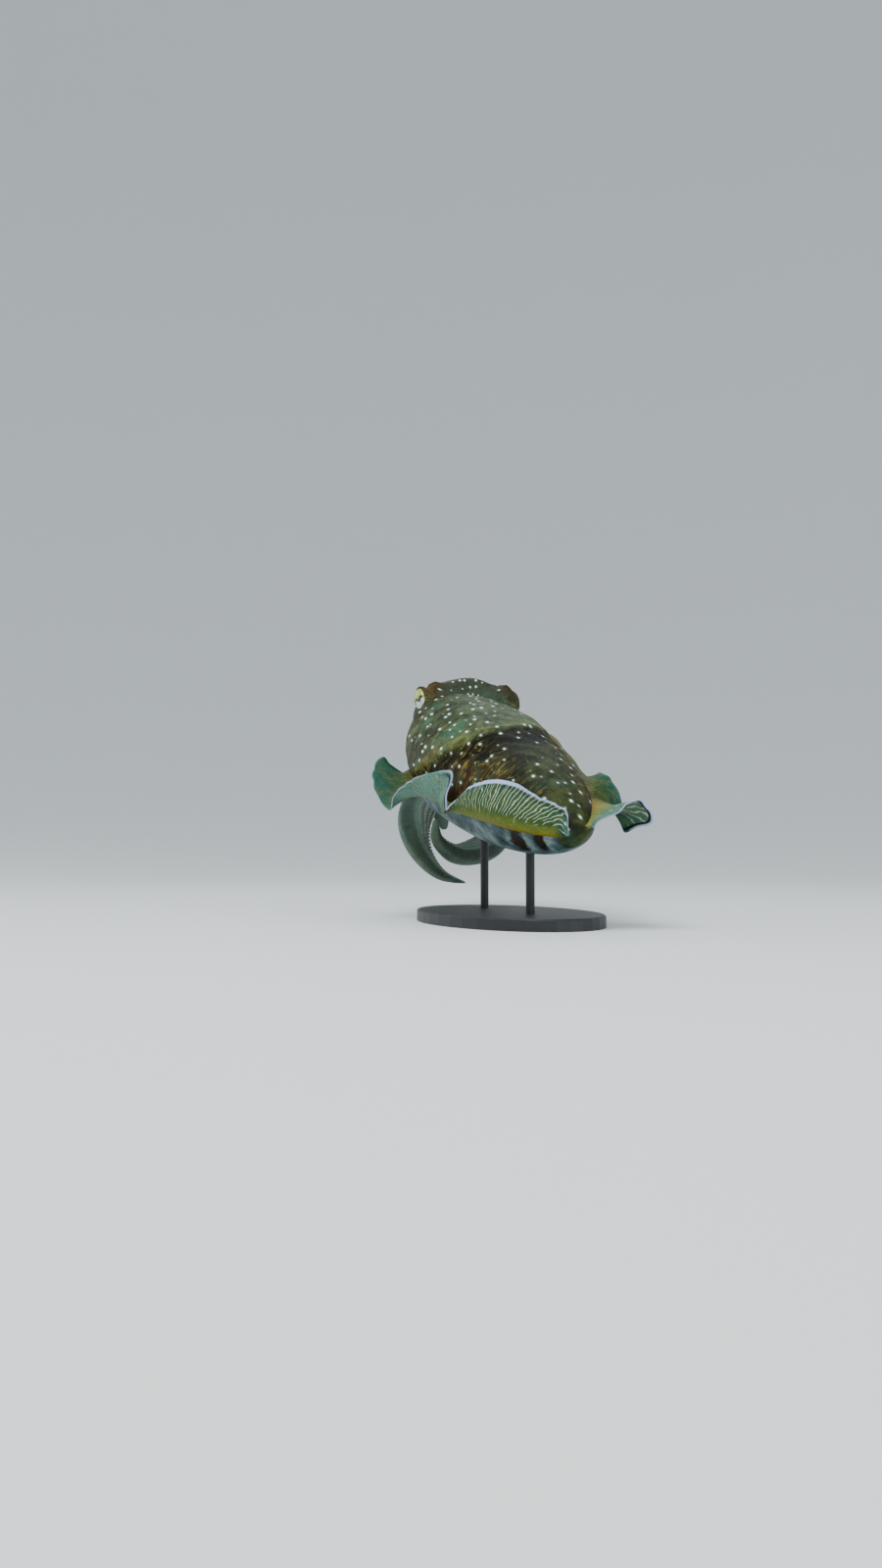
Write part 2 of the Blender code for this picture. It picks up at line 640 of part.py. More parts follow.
finish(mantle, "skin")
finish(head, "skin")
finish(funnel, "skin")
for part in eyes:
    finish(part, "eye")
for part in arms:
    finish(part, "arm")
for part in fins:
    finish(part, "fin")
for part in stand:
    finish(part, "steel")
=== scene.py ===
"""Looks of a broadclub cuttlefish that hovers tail-on, as a museum model on a stand."""
import math
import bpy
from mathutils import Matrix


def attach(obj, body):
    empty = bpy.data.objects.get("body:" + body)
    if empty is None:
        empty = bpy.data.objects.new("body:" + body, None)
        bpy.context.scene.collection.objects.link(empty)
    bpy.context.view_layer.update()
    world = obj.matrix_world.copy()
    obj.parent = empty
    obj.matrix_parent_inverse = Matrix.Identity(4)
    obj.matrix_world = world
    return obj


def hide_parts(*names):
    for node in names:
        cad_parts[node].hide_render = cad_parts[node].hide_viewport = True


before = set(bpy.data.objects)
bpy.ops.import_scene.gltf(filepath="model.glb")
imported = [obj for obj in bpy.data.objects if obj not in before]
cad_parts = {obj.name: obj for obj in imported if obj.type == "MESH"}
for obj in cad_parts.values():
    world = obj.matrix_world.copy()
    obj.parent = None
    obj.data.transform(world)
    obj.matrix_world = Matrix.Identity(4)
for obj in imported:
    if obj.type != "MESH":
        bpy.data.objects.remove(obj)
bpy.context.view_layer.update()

from types import SimpleNamespace

import bmesh
import bpy
import numpy as np

TURN = 2 * math.pi
BODY = 0.360  # mantle length, metres: the body's own unit
MM = 1000.0  # millimetres in a metre
MERGE_WITHIN = 2e-6  # metres: points nearer than this are one

# pose of the body and of the head, as in the solids
BODY_PITCH = math.radians(18.8)
BODY_BANK = math.radians(26.1)
TAIL_HEIGHT = 0.092
HEAD_AT = (1.065, -0.094, 0.050)
HEAD_RAISE = math.radians(8.0)

# mantle: half size, place of the widest, bluntness, taper to the front
MANTLE_WIDE = (0.214, 0.72, 1.22, 0.150)
MANTLE_TALL = (0.149, 0.624, 1.571, 0.12)
MANTLE_DEEP = (0.172, 0.472, 1.352, 0.25)
TOP_POWER = 1.20
BOTTOM_POWER = 0.711
FRONT_LOBE = 0.10
FRONT_NOTCH = 0.04
FRONT_SWERVE = -0.004
FRONT_LIFT = 0.010
LIP = 0.020
COLLAR_DEPTH = 0.055
FOLD_DEPTH, RIPPLE = 0.0085, 0.0016

# head: half width, height and depth at stations along it
HEAD_X = (-0.06, -0.02, 0.02, 0.06, 0.10, 0.135, 0.16)
HEAD_WIDE = (0.152, 0.154, 0.152, 0.145, 0.133, 0.122, 0.114)
HEAD_TOP = (0.090, 0.093, 0.093, 0.091, 0.089, 0.087, 0.086)
HEAD_LOW = (0.104, 0.108, 0.108, 0.106, 0.102, 0.098, 0.094)
EYE_AT = (-0.010, 0.153, 0.026)
EYE_SIZE = (0.038, 0.027, 0.036)
EYE_TILT = math.radians(30)  # the pupil's line runs down to the front
EYE_TURN = {1: math.radians(13), -1: math.radians(-30)}  # left looks a little back, right ahead
EYE_MOUND, BROW, CREST, LID = 0.020, 0.020, 0.009, 0.0066
ORBIT_LEFT, ORBIT_RIGHT = 0.002, 0.034  # the right mound hides its eye from the camera

# arms: crown ring, then angle on it, bends, radii and flatness. The roots stand up to
# 8 mm lower than the solids', and some bends of left_1 to left_4 and of right_4's tip up
# to 22 mm from theirs.
CROWN_X, CROWN_WIDE, CROWN_TALL = 0.135, 0.088, 0.076
ROOT_DROP = 0.022  # taken off the crown ring's height
ORAL_TARGET = (0.0, 0.0, -0.30)
ARMS = {
    "left_1": (25, ((.23, .02, .03), (.3, .02, -.04), (.335, .02, -.13), (.31, .015, -.23)),
               (.028, .03, .026, .017, .004), .85),
    "left_2": (68, ((.222, .062, 0), (.272, .052, -.08), (.272, .046, -.17), (.245, .045, -.255)),
               (.028, .031, .027, .018, .004), .85),
    "left_3": (112, ((.186, .076, -.095), (.17, .062, -.19), (.136, .08, -.298), (.08, .128, -.396),
                     (.009, .115, -.494), (-.041, .07, -.55), (-.084, -.011, -.577)),
               (.026, .042, .062, .062, .036, .004), .92),
    "left_4": (157, ((.192, .024, -.125), (.228, .008, -.21), (.205, .004, -.32), (.16, -.01, -.43)),
               (.028, .034, .042, .044, .012), .85),
    "right_4": (-157, ((.2, -.04, -.13), (.22, -.118, -.224), (.183, -.199, -.356),
                       (.113, -.173, -.45), (.04, -.063, -.49), (-.02, .036, -.475),
                       (-.046, .094, -.423), (-.052, .1, -.36)),
                (.028, .04, .052, .06, .044, .01), .85),
    "right_3": (-112, ((.215, -.092, -.05), (.27, -.1, -.13), (.28, -.095, -.21), (.25, -.085, -.29)),
                (.028, .031, .027, .018, .004), .85),
    "right_2": (-68, ((.235, -.08, .018), (.305, -.072, -.03), (.338, -.058, -.12), (.33, -.05, -.21)),
                (.028, .031, .027, .018, .004), .85),
    "right_1": (-25, ((.24, -.034, .05), (.33, -.018, .005), (.385, 0, -.08), (.385, .006, -.18)),
                (.028, .03, .026, .017, .004), .85),
}

# fins: share along the base, then the free edge's place out, up and forward of it. The
# right fin's front edge stands 1 to 15 mm from the solids', clear of the belly, and the
# left fin's tail end 2 to 8 mm.
FIN_FRONT, FIN_REAR = 0.93, 0.008
FIN_LENGTH = 0.92  # of the mantle, for the bars' and the pattern's scale
FIN_ROOT, FIN_EDGE = 0.008, 0.0016
FIN_BOW = {1: 0.060, -1: 0.016}
FIN_CRIMP = 0.0018
FIN_LEFT = (
    (0, .02, 0, 0), (0.05, .046, .053, .035), (0.09, .06, .094, .036),
    (0.13, .101, .085, .025), (0.16, .121, .058, .01), (0.19, .126, .011, -.005),
    (0.215, .112, -.018, -.012), (0.25, .096, .035, -.022), (0.28, .076, .062, -.032),
    (0.32, .047, .089, -.042), (0.36, .021, .108, -.055), (0.395, .003, .117, -.068),
    (0.425, -.016, .124, -.078), (0.445, -.028, .115, -.08), (0.465, .012, .072, -.078),
    (0.485, .036, .032, -.072), (0.5, .022, .043, -.065), (0.56, -.02, .08, -.045),
    (0.65, -.04, .1, -.01), (0.745, -.054, .107, .018), (0.83, -.057, .101, .02),
    (0.9, -.048, .084, .008), (0.95, -.046, .07, -.002), (0.985, -.026, .05, -.01),
    (1., .006, .01, -.008))
FIN_RIGHT = (
    (0, .02, 0, 0), (0.06, .024, -.055, .01), (0.16, .004, -.1, 0),
    (0.26, .018, -.104, .01), (0.36, 0, -.1, 0), (0.48, .006, -.1, -.01),
    (0.58, 0, -.092, 0), (0.65, .006, -.07, .015), (0.7, .02, -.038, .022),
    (0.74, .058, -.003, .025), (0.775, .081, -.025, .02), (0.81, .084, -.089, .01),
    (0.84, .062, -.14, 0), (0.865, .092, -.118, -.025), (0.89, .13, -.095, -.052),
    (0.91, .126, -.04, -.06), (0.93, .106, .006, -.065), (0.945, .076, .018, -.062),
    (0.96, .054, .006, -.052), (0.975, .032, .008, -.038), (0.99, .018, .006, -.02),
    (1., .014, -.004, -.01))

# fin marks: each number at shares along the base, for the left fin (1) and the right (-1)
FIN_MARKS = {
    1: {"lean": ((0, 0), (.47, .15), (.60, .11), (.75, .03), (.88, -.08), (.95, -.13), (1, -.10)),
        "bars": ((0, .06), (.20, .06), (.30, .22), (.44, .22), (.50, .5), (.64, .75), (.80, 1), (1, 1)),
        "pale": ((0, 0), (.19, .1), (.24, 1), (.455, 1), (.49, 0), (1, 0)),
        "deep": ((0, 1), (.16, 1), (.22, 0), (.97, 0), (.99, 1), (1, 1)),
        "black_line": ((0, .2), (.42, .2), (.45, .9), (.48, .9), (.52, .1), (.70, .2), (1, .6)),
        "hem": ((0, .05), (.21, .08), (.26, .22), (.45, .3), (.50, 1), (.76, 1), (.84, .4), (1, .3))},
    -1: {"lean": ((0, 0), (1, 0)),
         "bars": ((0, .8), (.60, .8), (.68, 0), (.85, 0), (.88, .75), (.93, .6), (.96, .2), (1, .1)),
         "pale": ((0, 0), (.84, 0), (.88, .35), (.92, .3), (.95, .7), (1, .5)),
         "deep": ((0, .6), (.50, .8), (.60, 1), (.84, 1), (.90, 0), (1, 0)),
         "black_line": ((0, .4), (.70, .8), (.93, 1), (.96, .1), (1, .1)),
         "hem": ((0, .8), (.60, .7), (.68, 0), (.85, 0), (.88, .8), (.93, .7), (.96, .3), (1, .3))},
}
BAR_GAP_MM = 5.0

# belly blotches: strength, place and length along the body, angle and spread in degrees
BLOTCHES = (
    (1.00, 0.178, 0.036, -14, 21), (1.00, 0.090, 0.020, -12, 20), (0.35, 0.300, 0.018, -10, 12),
    (0.40, 0.420, 0.040, -13, 12), (0.35, 0.034, 0.012, -16, 18), (0.80, 0.180, 0.036, 196, 20),
    (0.60, 0.330, 0.030, 194, 16))

# suckers: radius, height and hollowness, which sets the painted shade in the cup, down the
# profile, then each row's place across the arm and its share of a step along it
SUCKER_PROFILE = ((0.0, -0.60, 0), (0.72, 0.05, 0), (1.0, 0.58, 0), (0.82, 0.74, 0),
                  (0.55, 0.50, 0.6), (0.0, 0.12, 1))
SUCKER_LANES = ((-0.56, 0.0), (-0.19, 0.5), (0.19, 0.0), (0.56, 0.5))
SUCKER_GAP = 0.0165  # along the arm, in body units
SUCKER_SIZE = 0.135  # of the arm's half width
SUCKER_LEAST = 0.0006  # body units
SUCKER_FACE = 0.74  # depth of an arm's flattened sucker face

# skin: the remesh that fuses head and arms, and where their patterns start and turn
SKIN_VOXEL = 0.0021  # metres
SKIN_ROUNDS = 5
ARM_PATTERN_MM, HEAD_PATTERN_MM = 1300, 700
ARM_RADIUS_MM, HEAD_RADIUS_MM = 14, 60

# studio, in metres: the floor's flat part, its curve and wall, then each lamp's place,
# watts and size
FLOOR_FLAT, FLOOR_CURVE, WALL_TOP = 1.7, 4.6, 8.0
LAMPS = {"key": ((-1.0, 1.1, 2.1), 62, 1.3), "fill": ((-1.9, -0.9, 0.7), 16, 1.6),
         "rim": ((1.2, -0.6, 1.7), 6, 1.0), "front": ((1.6, 1.4, 0.9), 7, 1.4)}
LAMPS_AIM_AT = (0.05, 0, 0.17)

# camera: behind the animal and a little to its left, just above the stand's base
CAMERA_AT = (-1.1503, 0.4870, 0.0778)
CAMERA_HEADING = math.radians(-19.8)
CAMERA_LOOKS_UP = math.radians(3.05)
FOCAL_PX = 1219.0
FRAME_LONG_PX = 1600.0
SENSOR_MM = 36.0


def axes(turn, pitch, bank):
    """Forward, left and up as matrix columns: a heading, a nose-up pitch, then a bank."""
    forward = np.array([math.cos(turn) * math.cos(pitch), math.sin(turn) * math.cos(pitch),
                        math.sin(pitch)])
    level = np.array([-math.sin(turn), math.cos(turn), 0.0])
    upright = np.cross(forward, level)
    left = level * math.cos(bank) - upright * math.sin(bank)
    return np.stack([forward, left, np.cross(forward, left)], 1)


BODY_AXES = axes(0.0, BODY_PITCH, BODY_BANK)
HEAD_AXES = axes(0.0, HEAD_RAISE, 0.0)
BODY_ORIGIN = np.array([-0.5 * BODY * math.cos(BODY_PITCH), 0.0, TAIL_HEIGHT])
HEAD_ORIGIN = BODY_ORIGIN + BODY_AXES @ (np.array(HEAD_AT) * BODY)


def body_place(points):
    """Body shares to metres in the row frame: scale, pitch, bank and shift."""
    return np.asarray(points, float) * BODY @ BODY_AXES.T + BODY_ORIGIN


def head_place(points):
    """Head shares to metres in the row frame."""
    return np.asarray(points, float) * BODY @ HEAD_AXES.T + HEAD_ORIGIN


def head_shares(points):
    """Metres in the row frame back to head shares."""
    return (points - HEAD_ORIGIN) @ HEAD_AXES / BODY


def smooth(x, xs, ys):
    """Cubic through stations (xs, ys), each slope a mean of its two neighbours' chords."""
    x = np.atleast_1d(np.asarray(x, float))
    xs, ys = np.asarray(xs, float), np.asarray(ys, float)
    step = np.diff(xs)
    shape = (-1,) + (1,) * (ys.ndim - 1)
    rise = np.diff(ys, axis=0) / step.reshape(shape)
    inner = rise[1:] * step[:-1].reshape(shape) + rise[:-1] * step[1:].reshape(shape)
    slope = np.concatenate([rise[:1], inner / (step[1:] + step[:-1]).reshape(shape), rise[-1:]])
    i = np.clip(np.searchsorted(xs, x) - 1, 0, len(step) - 1)
    t = np.clip((x - xs[i]) / step[i], 0, 1).reshape(shape)
    h = step[i].reshape(shape)
    return (ys[i] * (2 * t**3 - 3 * t**2 + 1) + h * slope[i] * (t**3 - 2 * t**2 + t)
            + ys[i + 1] * (3 * t**2 - 2 * t**3) + h * slope[i + 1] * (t**3 - t**2))


def between(x, stations):
    """smooth() for an array of any shape through (place, value) stations."""
    xs, ys = zip(*stations)
    return smooth(np.ravel(x), xs, ys).reshape(np.shape(x))


def ease(x, low, high):
    """0 at low, 1 at high, with level ends."""
    t = np.clip((x - low) / (high - low), 0, 1)
    return t * t * (3 - 2 * t)


def bell(x, centre, width):
    """1 at centre, falling off as a Gaussian of that width."""
    return np.exp(-((x - centre) / width) ** 2)


# meshes

def unit(vectors):
    """Each vector at length 1."""
    return vectors / np.linalg.norm(vectors, axis=-1, keepdims=True)


def circle(count):
    """Angles evenly spaced round one turn."""
    return np.linspace(0, TURN, count, endpoint=False)


def sphere_angles(rows, cols):
    """Latitudes and longitudes of a sphere's grid, from pole to pole."""
    return np.meshgrid(np.linspace(0, math.pi, rows), circle(cols), indexing="ij")


def pole(ring):
    """A ring's middle, once for each of its points: the row that closes a tube's end."""
    return np.repeat(ring.mean(1, keepdims=True), ring.shape[1], 1)


def grid_faces(rows, cols, wrap, start=0):
    """Quads of a grid of rows by cols points; wrap joins the last column to the first."""
    i, j = np.meshgrid(np.arange(rows - 1), np.arange(cols if wrap else cols - 1), indexing="ij")
    a = i * cols + j
    b = i * cols + (j + 1) % cols
    return np.stack([a, b, b + cols, a + cols], -1).reshape(-1, 4) + start


class Sheet:
    """Points, quads and named per-point numbers, gathered from several grids."""

    def __init__(self):
        self.points, self.quads, self.values, self.count = [], [], {}, 0

    def add(self, points, wrap=True, **values):
        """One grid of points, its last column joined to its first where wrap is set."""
        rows, cols = points.shape[:2]
        self.points.append(points.reshape(-1, 3))
        self.quads.append(grid_faces(rows, cols, wrap, self.count))
        self.count += rows * cols
        for name, number in values.items():
            self.values.setdefault(name, []).append(np.broadcast_to(number, (rows, cols)).reshape(-1))

    def mesh(self, name):
        """The mesh, with points that coincide merged and faces turned outward."""
        mesh = bpy.data.meshes.new(name)
        mesh.from_pydata(np.concatenate(self.points).tolist(), [],
                         np.concatenate(self.quads).tolist())
        for key, parts in self.values.items():
            store(mesh, key, np.concatenate(parts))
        work = bmesh.new()
        work.from_mesh(mesh)
        bmesh.ops.remove_doubles(work, verts=work.verts, dist=MERGE_WITHIN)
        bmesh.ops.recalc_face_normals(work, faces=work.faces)
        work.to_mesh(mesh)
        work.free()
        return mesh


def store(mesh, key, numbers):
    """A named number for each point, for the materials to read."""
    kept = mesh.attributes.new(key, "FLOAT", "POINT")
    kept.data.foreach_set("value", np.ascontiguousarray(numbers, np.float32))


def points_of(mesh):
    """A mesh's points as one array."""
    flat = np.empty(len(mesh.vertices) * 3, np.float32)
    mesh.vertices.foreach_get("co", flat)
    return flat.reshape(-1, 3).astype(float)


def placed(name, data):
    """A new object in the scene, at the origin."""
    made = bpy.data.objects.new(name, data)
    bpy.context.scene.collection.objects.link(made)
    return made


def dress(mesh, finish):
    """Smooth shading and one material."""
    mesh.polygons.foreach_set("use_smooth", np.ones(len(mesh.polygons), bool))
    mesh.materials.append(finish)


def piece(name, mesh, finish, *nodes):
    """An object at the origin that rides on the body and stands for nodes."""
    dress(mesh, finish)
    made = placed(name, mesh)
    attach(made, "root")
    if nodes:
        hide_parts(*nodes)


def fused(sheet, voxel, rounds):
    """Closed surfaces that run into each other made one skin: remeshed on a voxel grid,
    then relaxed, which rounds their joins into fillets."""
    rough = placed("rough", sheet.mesh("rough"))
    fuse = rough.modifiers.new("fuse", "REMESH")
    fuse.mode, fuse.voxel_size, fuse.adaptivity = "VOXEL", voxel, 0.0
    relax = rough.modifiers.new("relax", "SMOOTH")
    relax.factor, relax.iterations = 0.5, rounds
    whole = bpy.data.meshes.new_from_object(rough.evaluated_get(bpy.context.evaluated_depsgraph_get()))
    bpy.data.objects.remove(rough, do_unlink=True)
    return whole


# materials

def colour(code):
    """sRGB hex to linear RGBA."""
    channels = [int(code[i:i + 2], 16) / 255 for i in (0, 2, 4)]
    return tuple(c / 12.92 if c <= 0.04045 else ((c + 0.055) / 1.055) ** 2.4
                 for c in channels) + (1.0,)


class Finish:
    """A material under construction: its nodes are added one at a time."""

    def __init__(self, name, **shader):
        self.made = bpy.data.materials.new(name)
        self.made.use_nodes = True
        self.tree = self.made.node_tree
        self.shader = self.tree.nodes["Principled BSDF"]
        for key, number in shader.items():
            self.shader.inputs[key.replace("_", " ")].default_value = number

    def add(self, kind, links=None, **settings):
        """A node: settings name its properties or, as in_Name or in_0, its inputs."""
        node = self.tree.nodes.new("ShaderNode" + kind)
        for key, item in settings.items():
            if key.startswith("in_"):
                slot = key[3:]
                node.inputs[int(slot) if slot.isdigit() else slot.replace("_", " ")].default_value = item
            else:
                setattr(node, key, item)
        for slot, source in (links or {}).items():
            self.tree.links.new(source, node.inputs[slot])
        return node

    def number(self, name):
        """A per-point number of the mesh."""
        return self.add("Attribute", attribute_name=name).outputs["Fac"]

    def math(self, kind, *items):
        """Math on sockets or plain numbers."""
        links = {i: item for i, item in enumerate(items) if not isinstance(item, (int, float))}
        plain = {f"in_{i}": float(item) for i, item in enumerate(items) if isinstance(item, (int, float))}
        return self.add("Math", links, operation=kind, **plain).outputs[0]

    def times(self, one, two):
        """The product of two sockets, or of a socket and a number."""
        return self.math("MULTIPLY", one, two)

    def span(self, source, low, high, to_low=0.0, to_high=1.0):
        """A smooth step of source from low to high."""
        return self.add("MapRange", {"Value": source}, interpolation_type="SMOOTHSTEP", in_1=low,
                        in_2=high, in_3=to_low, in_4=to_high).outputs["Result"]

    def ramp(self, source, *stops):
        """A colour ramp through (place, hex) stops."""
        node = self.add("ValToRGB", {"Fac": source})
        bar = node.color_ramp.elements
        bar[0].position, bar[0].color = stops[0][0], colour(stops[0][1])
        bar[1].position, bar[1].color = stops[-1][0], colour(stops[-1][1])
        for place, code in stops[1:-1]:
            bar.new(place).color = colour(code)
        return node.outputs["Color"]

    def mix(self, share, under, over, kind="MIX"):
        """Two colours (sockets or hex) mixed by a share (socket or number)."""
        node = self.add("Mix", data_type="RGBA", blend_type=kind)
        for name, item in (("Factor", share), ("A", under), ("B", over)):
            socket = next(s for s in node.inputs if s.name == name and s.enabled)
            if isinstance(item, str):
                socket.default_value = colour(item)
            elif isinstance(item, (int, float)):
                socket.default_value = item
            else:
                self.tree.links.new(item, socket)
        return next(s for s in node.outputs if s.enabled)

    def on(self, **links):
        """The finished material, with sockets linked to its shader's inputs."""
        for name, source in links.items():
            self.tree.links.new(source, self.shader.inputs[name.replace("_", " ")])
        return self.made

    def solid_place(self):
        """Object coordinates, in metres."""
        return self.add("TexCoord").outputs["Object"]

    def skin_place(self, along=1.0, around=1.0):
        """Millimetres along and around the skin, each times a factor."""
        return self.add("CombineXYZ", {"X": self.times(self.number("along_mm"), along),
                                       "Y": self.times(self.number("around_mm"), around)}).outputs[0]

    def noise(self, place, scale, detail=2.0, rough=0.5, twist=0.0, flat=False):
        """A noise of about one patch to 1 / scale of the place's unit; flat ignores Z."""
        return self.add("TexNoise", {"Vector": place}, in_Scale=scale, in_Detail=detail,
                        in_Roughness=rough, in_Distortion=twist,
                        noise_dimensions="2D" if flat else "3D").outputs["Fac"]


def skin_finish():
    """Moist mollusc skin: pigment cells and pale bodies under a thin wet film, so the
    eye sees a soft satin gleam over speckled, mottled colour."""
    f = Finish("moist pigmented skin", Roughness=0.55, IOR=1.38, Specular_IOR_Level=0.20, Coat_Weight=0.06,
               Coat_Roughness=0.30, Coat_IOR=1.34, Subsurface_Weight=0.06,
               Subsurface_Radius=(0.004, 0.002, 0.001), Subsurface_Scale=1.0)
    where = f.solid_place()
    broad = f.noise(where, 24, 4, 0.62)  # patches about 40 mm across
    small = f.noise(where, 110, 3, 0.6)  # mottles about 9 mm across
    grains = f.noise(where, 420, 2, 0.6)  # pigment grains about 2 mm across
    back = f.ramp(broad, (0.30, "14190f"), (0.44, "262d1c"), (0.56, "3a4328"), (0.70, "4d5938"))
    back = f.mix(f.times(f.span(small, 0.50, 0.66), 0.45), back, "6a6b42")
    back = f.mix(f.times(f.span(small, 0.46, 0.34), 0.55), back, "10140e")
    front = f.ramp(broad, (0.32, "28321f"), (0.47, "3e4a32"), (0.60, "536141"), (0.74, "6a7955"))
    front = f.mix(f.times(f.span(small, 0.48, 0.62), 0.50), front, "849072")
    front = f.mix(f.times(f.span(small, 0.47, 0.36), 0.45), front, "2c3526")
    tone = f.mix(f.number("front"), back, front)
    # painted sheen: soft teal patches of highlight, stronger on the pale front
    painted_sheen = f.noise(where, 34, 2, 0.5)
    tone = f.mix(f.times(f.span(painted_sheen, 0.50, 0.68), f.math("MULTIPLY_ADD", f.number("front"), 0.24, 0.14)),
                 tone, "5b9680")
    cloud = f.noise(where, 17, 3, 0.55)
    tone = f.mix(f.times(f.span(cloud, 0.52, 0.40), f.times(f.number("front"), 0.55)), tone, "26301f")
    rust = f.times(f.number("rust"), f.span(f.noise(where, 62, 3, 0.6), 0.40, 0.60))
    tone = f.mix(f.times(rust, 0.80), tone, "56301a")
    # dark zone behind the pale fold: the skin's own dark colour, deepened just behind the fold as painted
    # shade
    tone = f.mix(f.times(f.number("dark"), f.span(small, 0.76, 0.42, 0.90, 1.0)), tone, "060906")
    tone = f.mix(f.times(f.number("head"), 0.78), tone, "474b40")
    tone = f.mix(f.times(f.number("brow"), f.span(small, 0.30, 0.60, 0.55, 0.85)), tone, "5f4a33")
    # thin golden lines that wander up the flanks, 1 mm wide and 4 to 8 mm apart
    lines = f.noise(f.skin_place(0.125, 0.034), 1.0, 1.6, 0.5, 0.9, flat=True)
    lines = f.math("ABSOLUTE", f.math("SUBTRACT", lines, 0.5))
    strength = f.times(f.span(lines, 0.040, 0.014), f.span(f.noise(where, 70, 2), 0.42, 0.55, 0.30, 1.0))
    strength = f.times(strength, f.number("flank"))
    tone = f.mix(f.times(strength, 0.66), tone, f.mix(f.number("front"), "b5a570", "98a074"))
    dark_lines = f.noise(f.skin_place(0.44, 0.050), 1.0, 2.0, 0.5, 0.8, flat=True)
    tone = f.mix(f.times(f.times(f.span(dark_lines, 0.44, 0.38), f.number("flank")), 0.7),
                 tone, "1e140c")
    tone = f.mix(f.times(f.number("band"), f.span(small, 0.40, 0.62, 0.20, 0.62)), tone, "98a06a")
    # belly: bluish white, smoky mottles and two big dark blotches
    smoke = f.noise(where, 46, 3, 0.6)
    belly = f.ramp(smoke, (0.34, "35474b"), (0.50, "6a7f83"), (0.68, "b4c4c3"))
    blot = f.math("ADD", f.number("blotch"), f.times(f.math("SUBTRACT", small, 0.5), 0.9))
    belly = f.mix(f.span(blot, 0.26, 0.64), belly, "21190f")
    edge = f.math("ADD", f.number("belly"), f.times(f.math("SUBTRACT", small, 0.5), 0.6))
    tone = f.mix(f.span(edge, 0.25, 0.75), tone, belly)
    # arms: grey green, darker along both edges, finely barred
    limb = f.ramp(small, (0.25, "5a6f66"), (0.50, "6e837a"), (0.75, "80958a"))
    limb = f.mix(f.times(f.span(broad, 0.42, 0.60), 0.45), limb, "7b8468")
    bars = f.noise(f.skin_place(0.22, 0.030), 1.0, 2.0, 0.5, 0.6, flat=True)
    limb = f.mix(f.times(f.span(bars, 0.54, 0.64), 0.35), limb, "7f9488")
    limb = f.mix(f.times(f.number("limb_edge"), 0.75), limb, "18261f")
    limb = f.mix(f.times(f.number("oral"), 0.75), limb, "8fa39a")
    tone = f.mix(f.number("limb"), tone, limb)
    tone = f.mix(f.times(f.span(grains, 0.62, 0.36), f.math("MULTIPLY_ADD", f.number("limb"), -0.25, 0.38)),
                 tone, "0d100a")
    tone = f.add("HueSaturation", {"Color": tone}, in_Saturation=1.32, in_Value=0.62).outputs[0]
    # white spots: raised dots up to 5 mm long and 3 mm wide, one to a cell of some 18 by
    # 12 mm, many of them left out, each with a faint halo
    cell = f.add("TexVoronoi", {"Vector": f.skin_place(0.72, 1.06)}, voronoi_dimensions="2D",
                 in_Scale=0.078, in_Randomness=0.95)
    pick = f.add("SeparateColor", {"Color": cell.outputs["Color"]}).outputs[0]
    kept = f.math("ADD", pick, f.math("SUBTRACT", f.number("spots"), 1.0))
    larger = f.math("MULTIPLY_ADD", f.number("front"), 0.16, 0.74)
    width = f.times(f.span(kept, 0.12, 1.0, 0.0, 0.160), larger)
    gap = f.math("SUBTRACT", cell.outputs["Distance"], width)
    tone = f.mix(f.times(f.span(gap, 0.17, -0.02), f.span(kept, 0.12, 0.9, 0.0, 0.30)),
                 tone, "8aa898")
    dot = f.times(f.span(gap, 0.015, -0.045), f.span(kept, 0.15, 0.75, 0.35, 1.0))
    tone = f.mix(dot, tone, "f1f4ea")
    height = f.math("ADD", f.times(grains, 0.55), f.times(small, 0.8))
    height = f.math("ADD", height, f.times(dot, 0.35))
    pores = f.noise(where, 1100, 2, 0.6)
    height = f.math("ADD", height, f.times(pores, 0.25))
    bump = f.add("Bump", {"Height": height}, in_Strength=0.55, in_Distance=0.0016)
    gloss = f.math("MULTIPLY_ADD", f.number("dark"), -0.14, 0.20)  # dark patches gleam less
    return f.on(Base_Color=tone, Roughness=f.span(grains, 0.3, 0.7, 0.46, 0.66),
                Specular_IOR_Level=gloss, Normal=bump.outputs["Normal"])


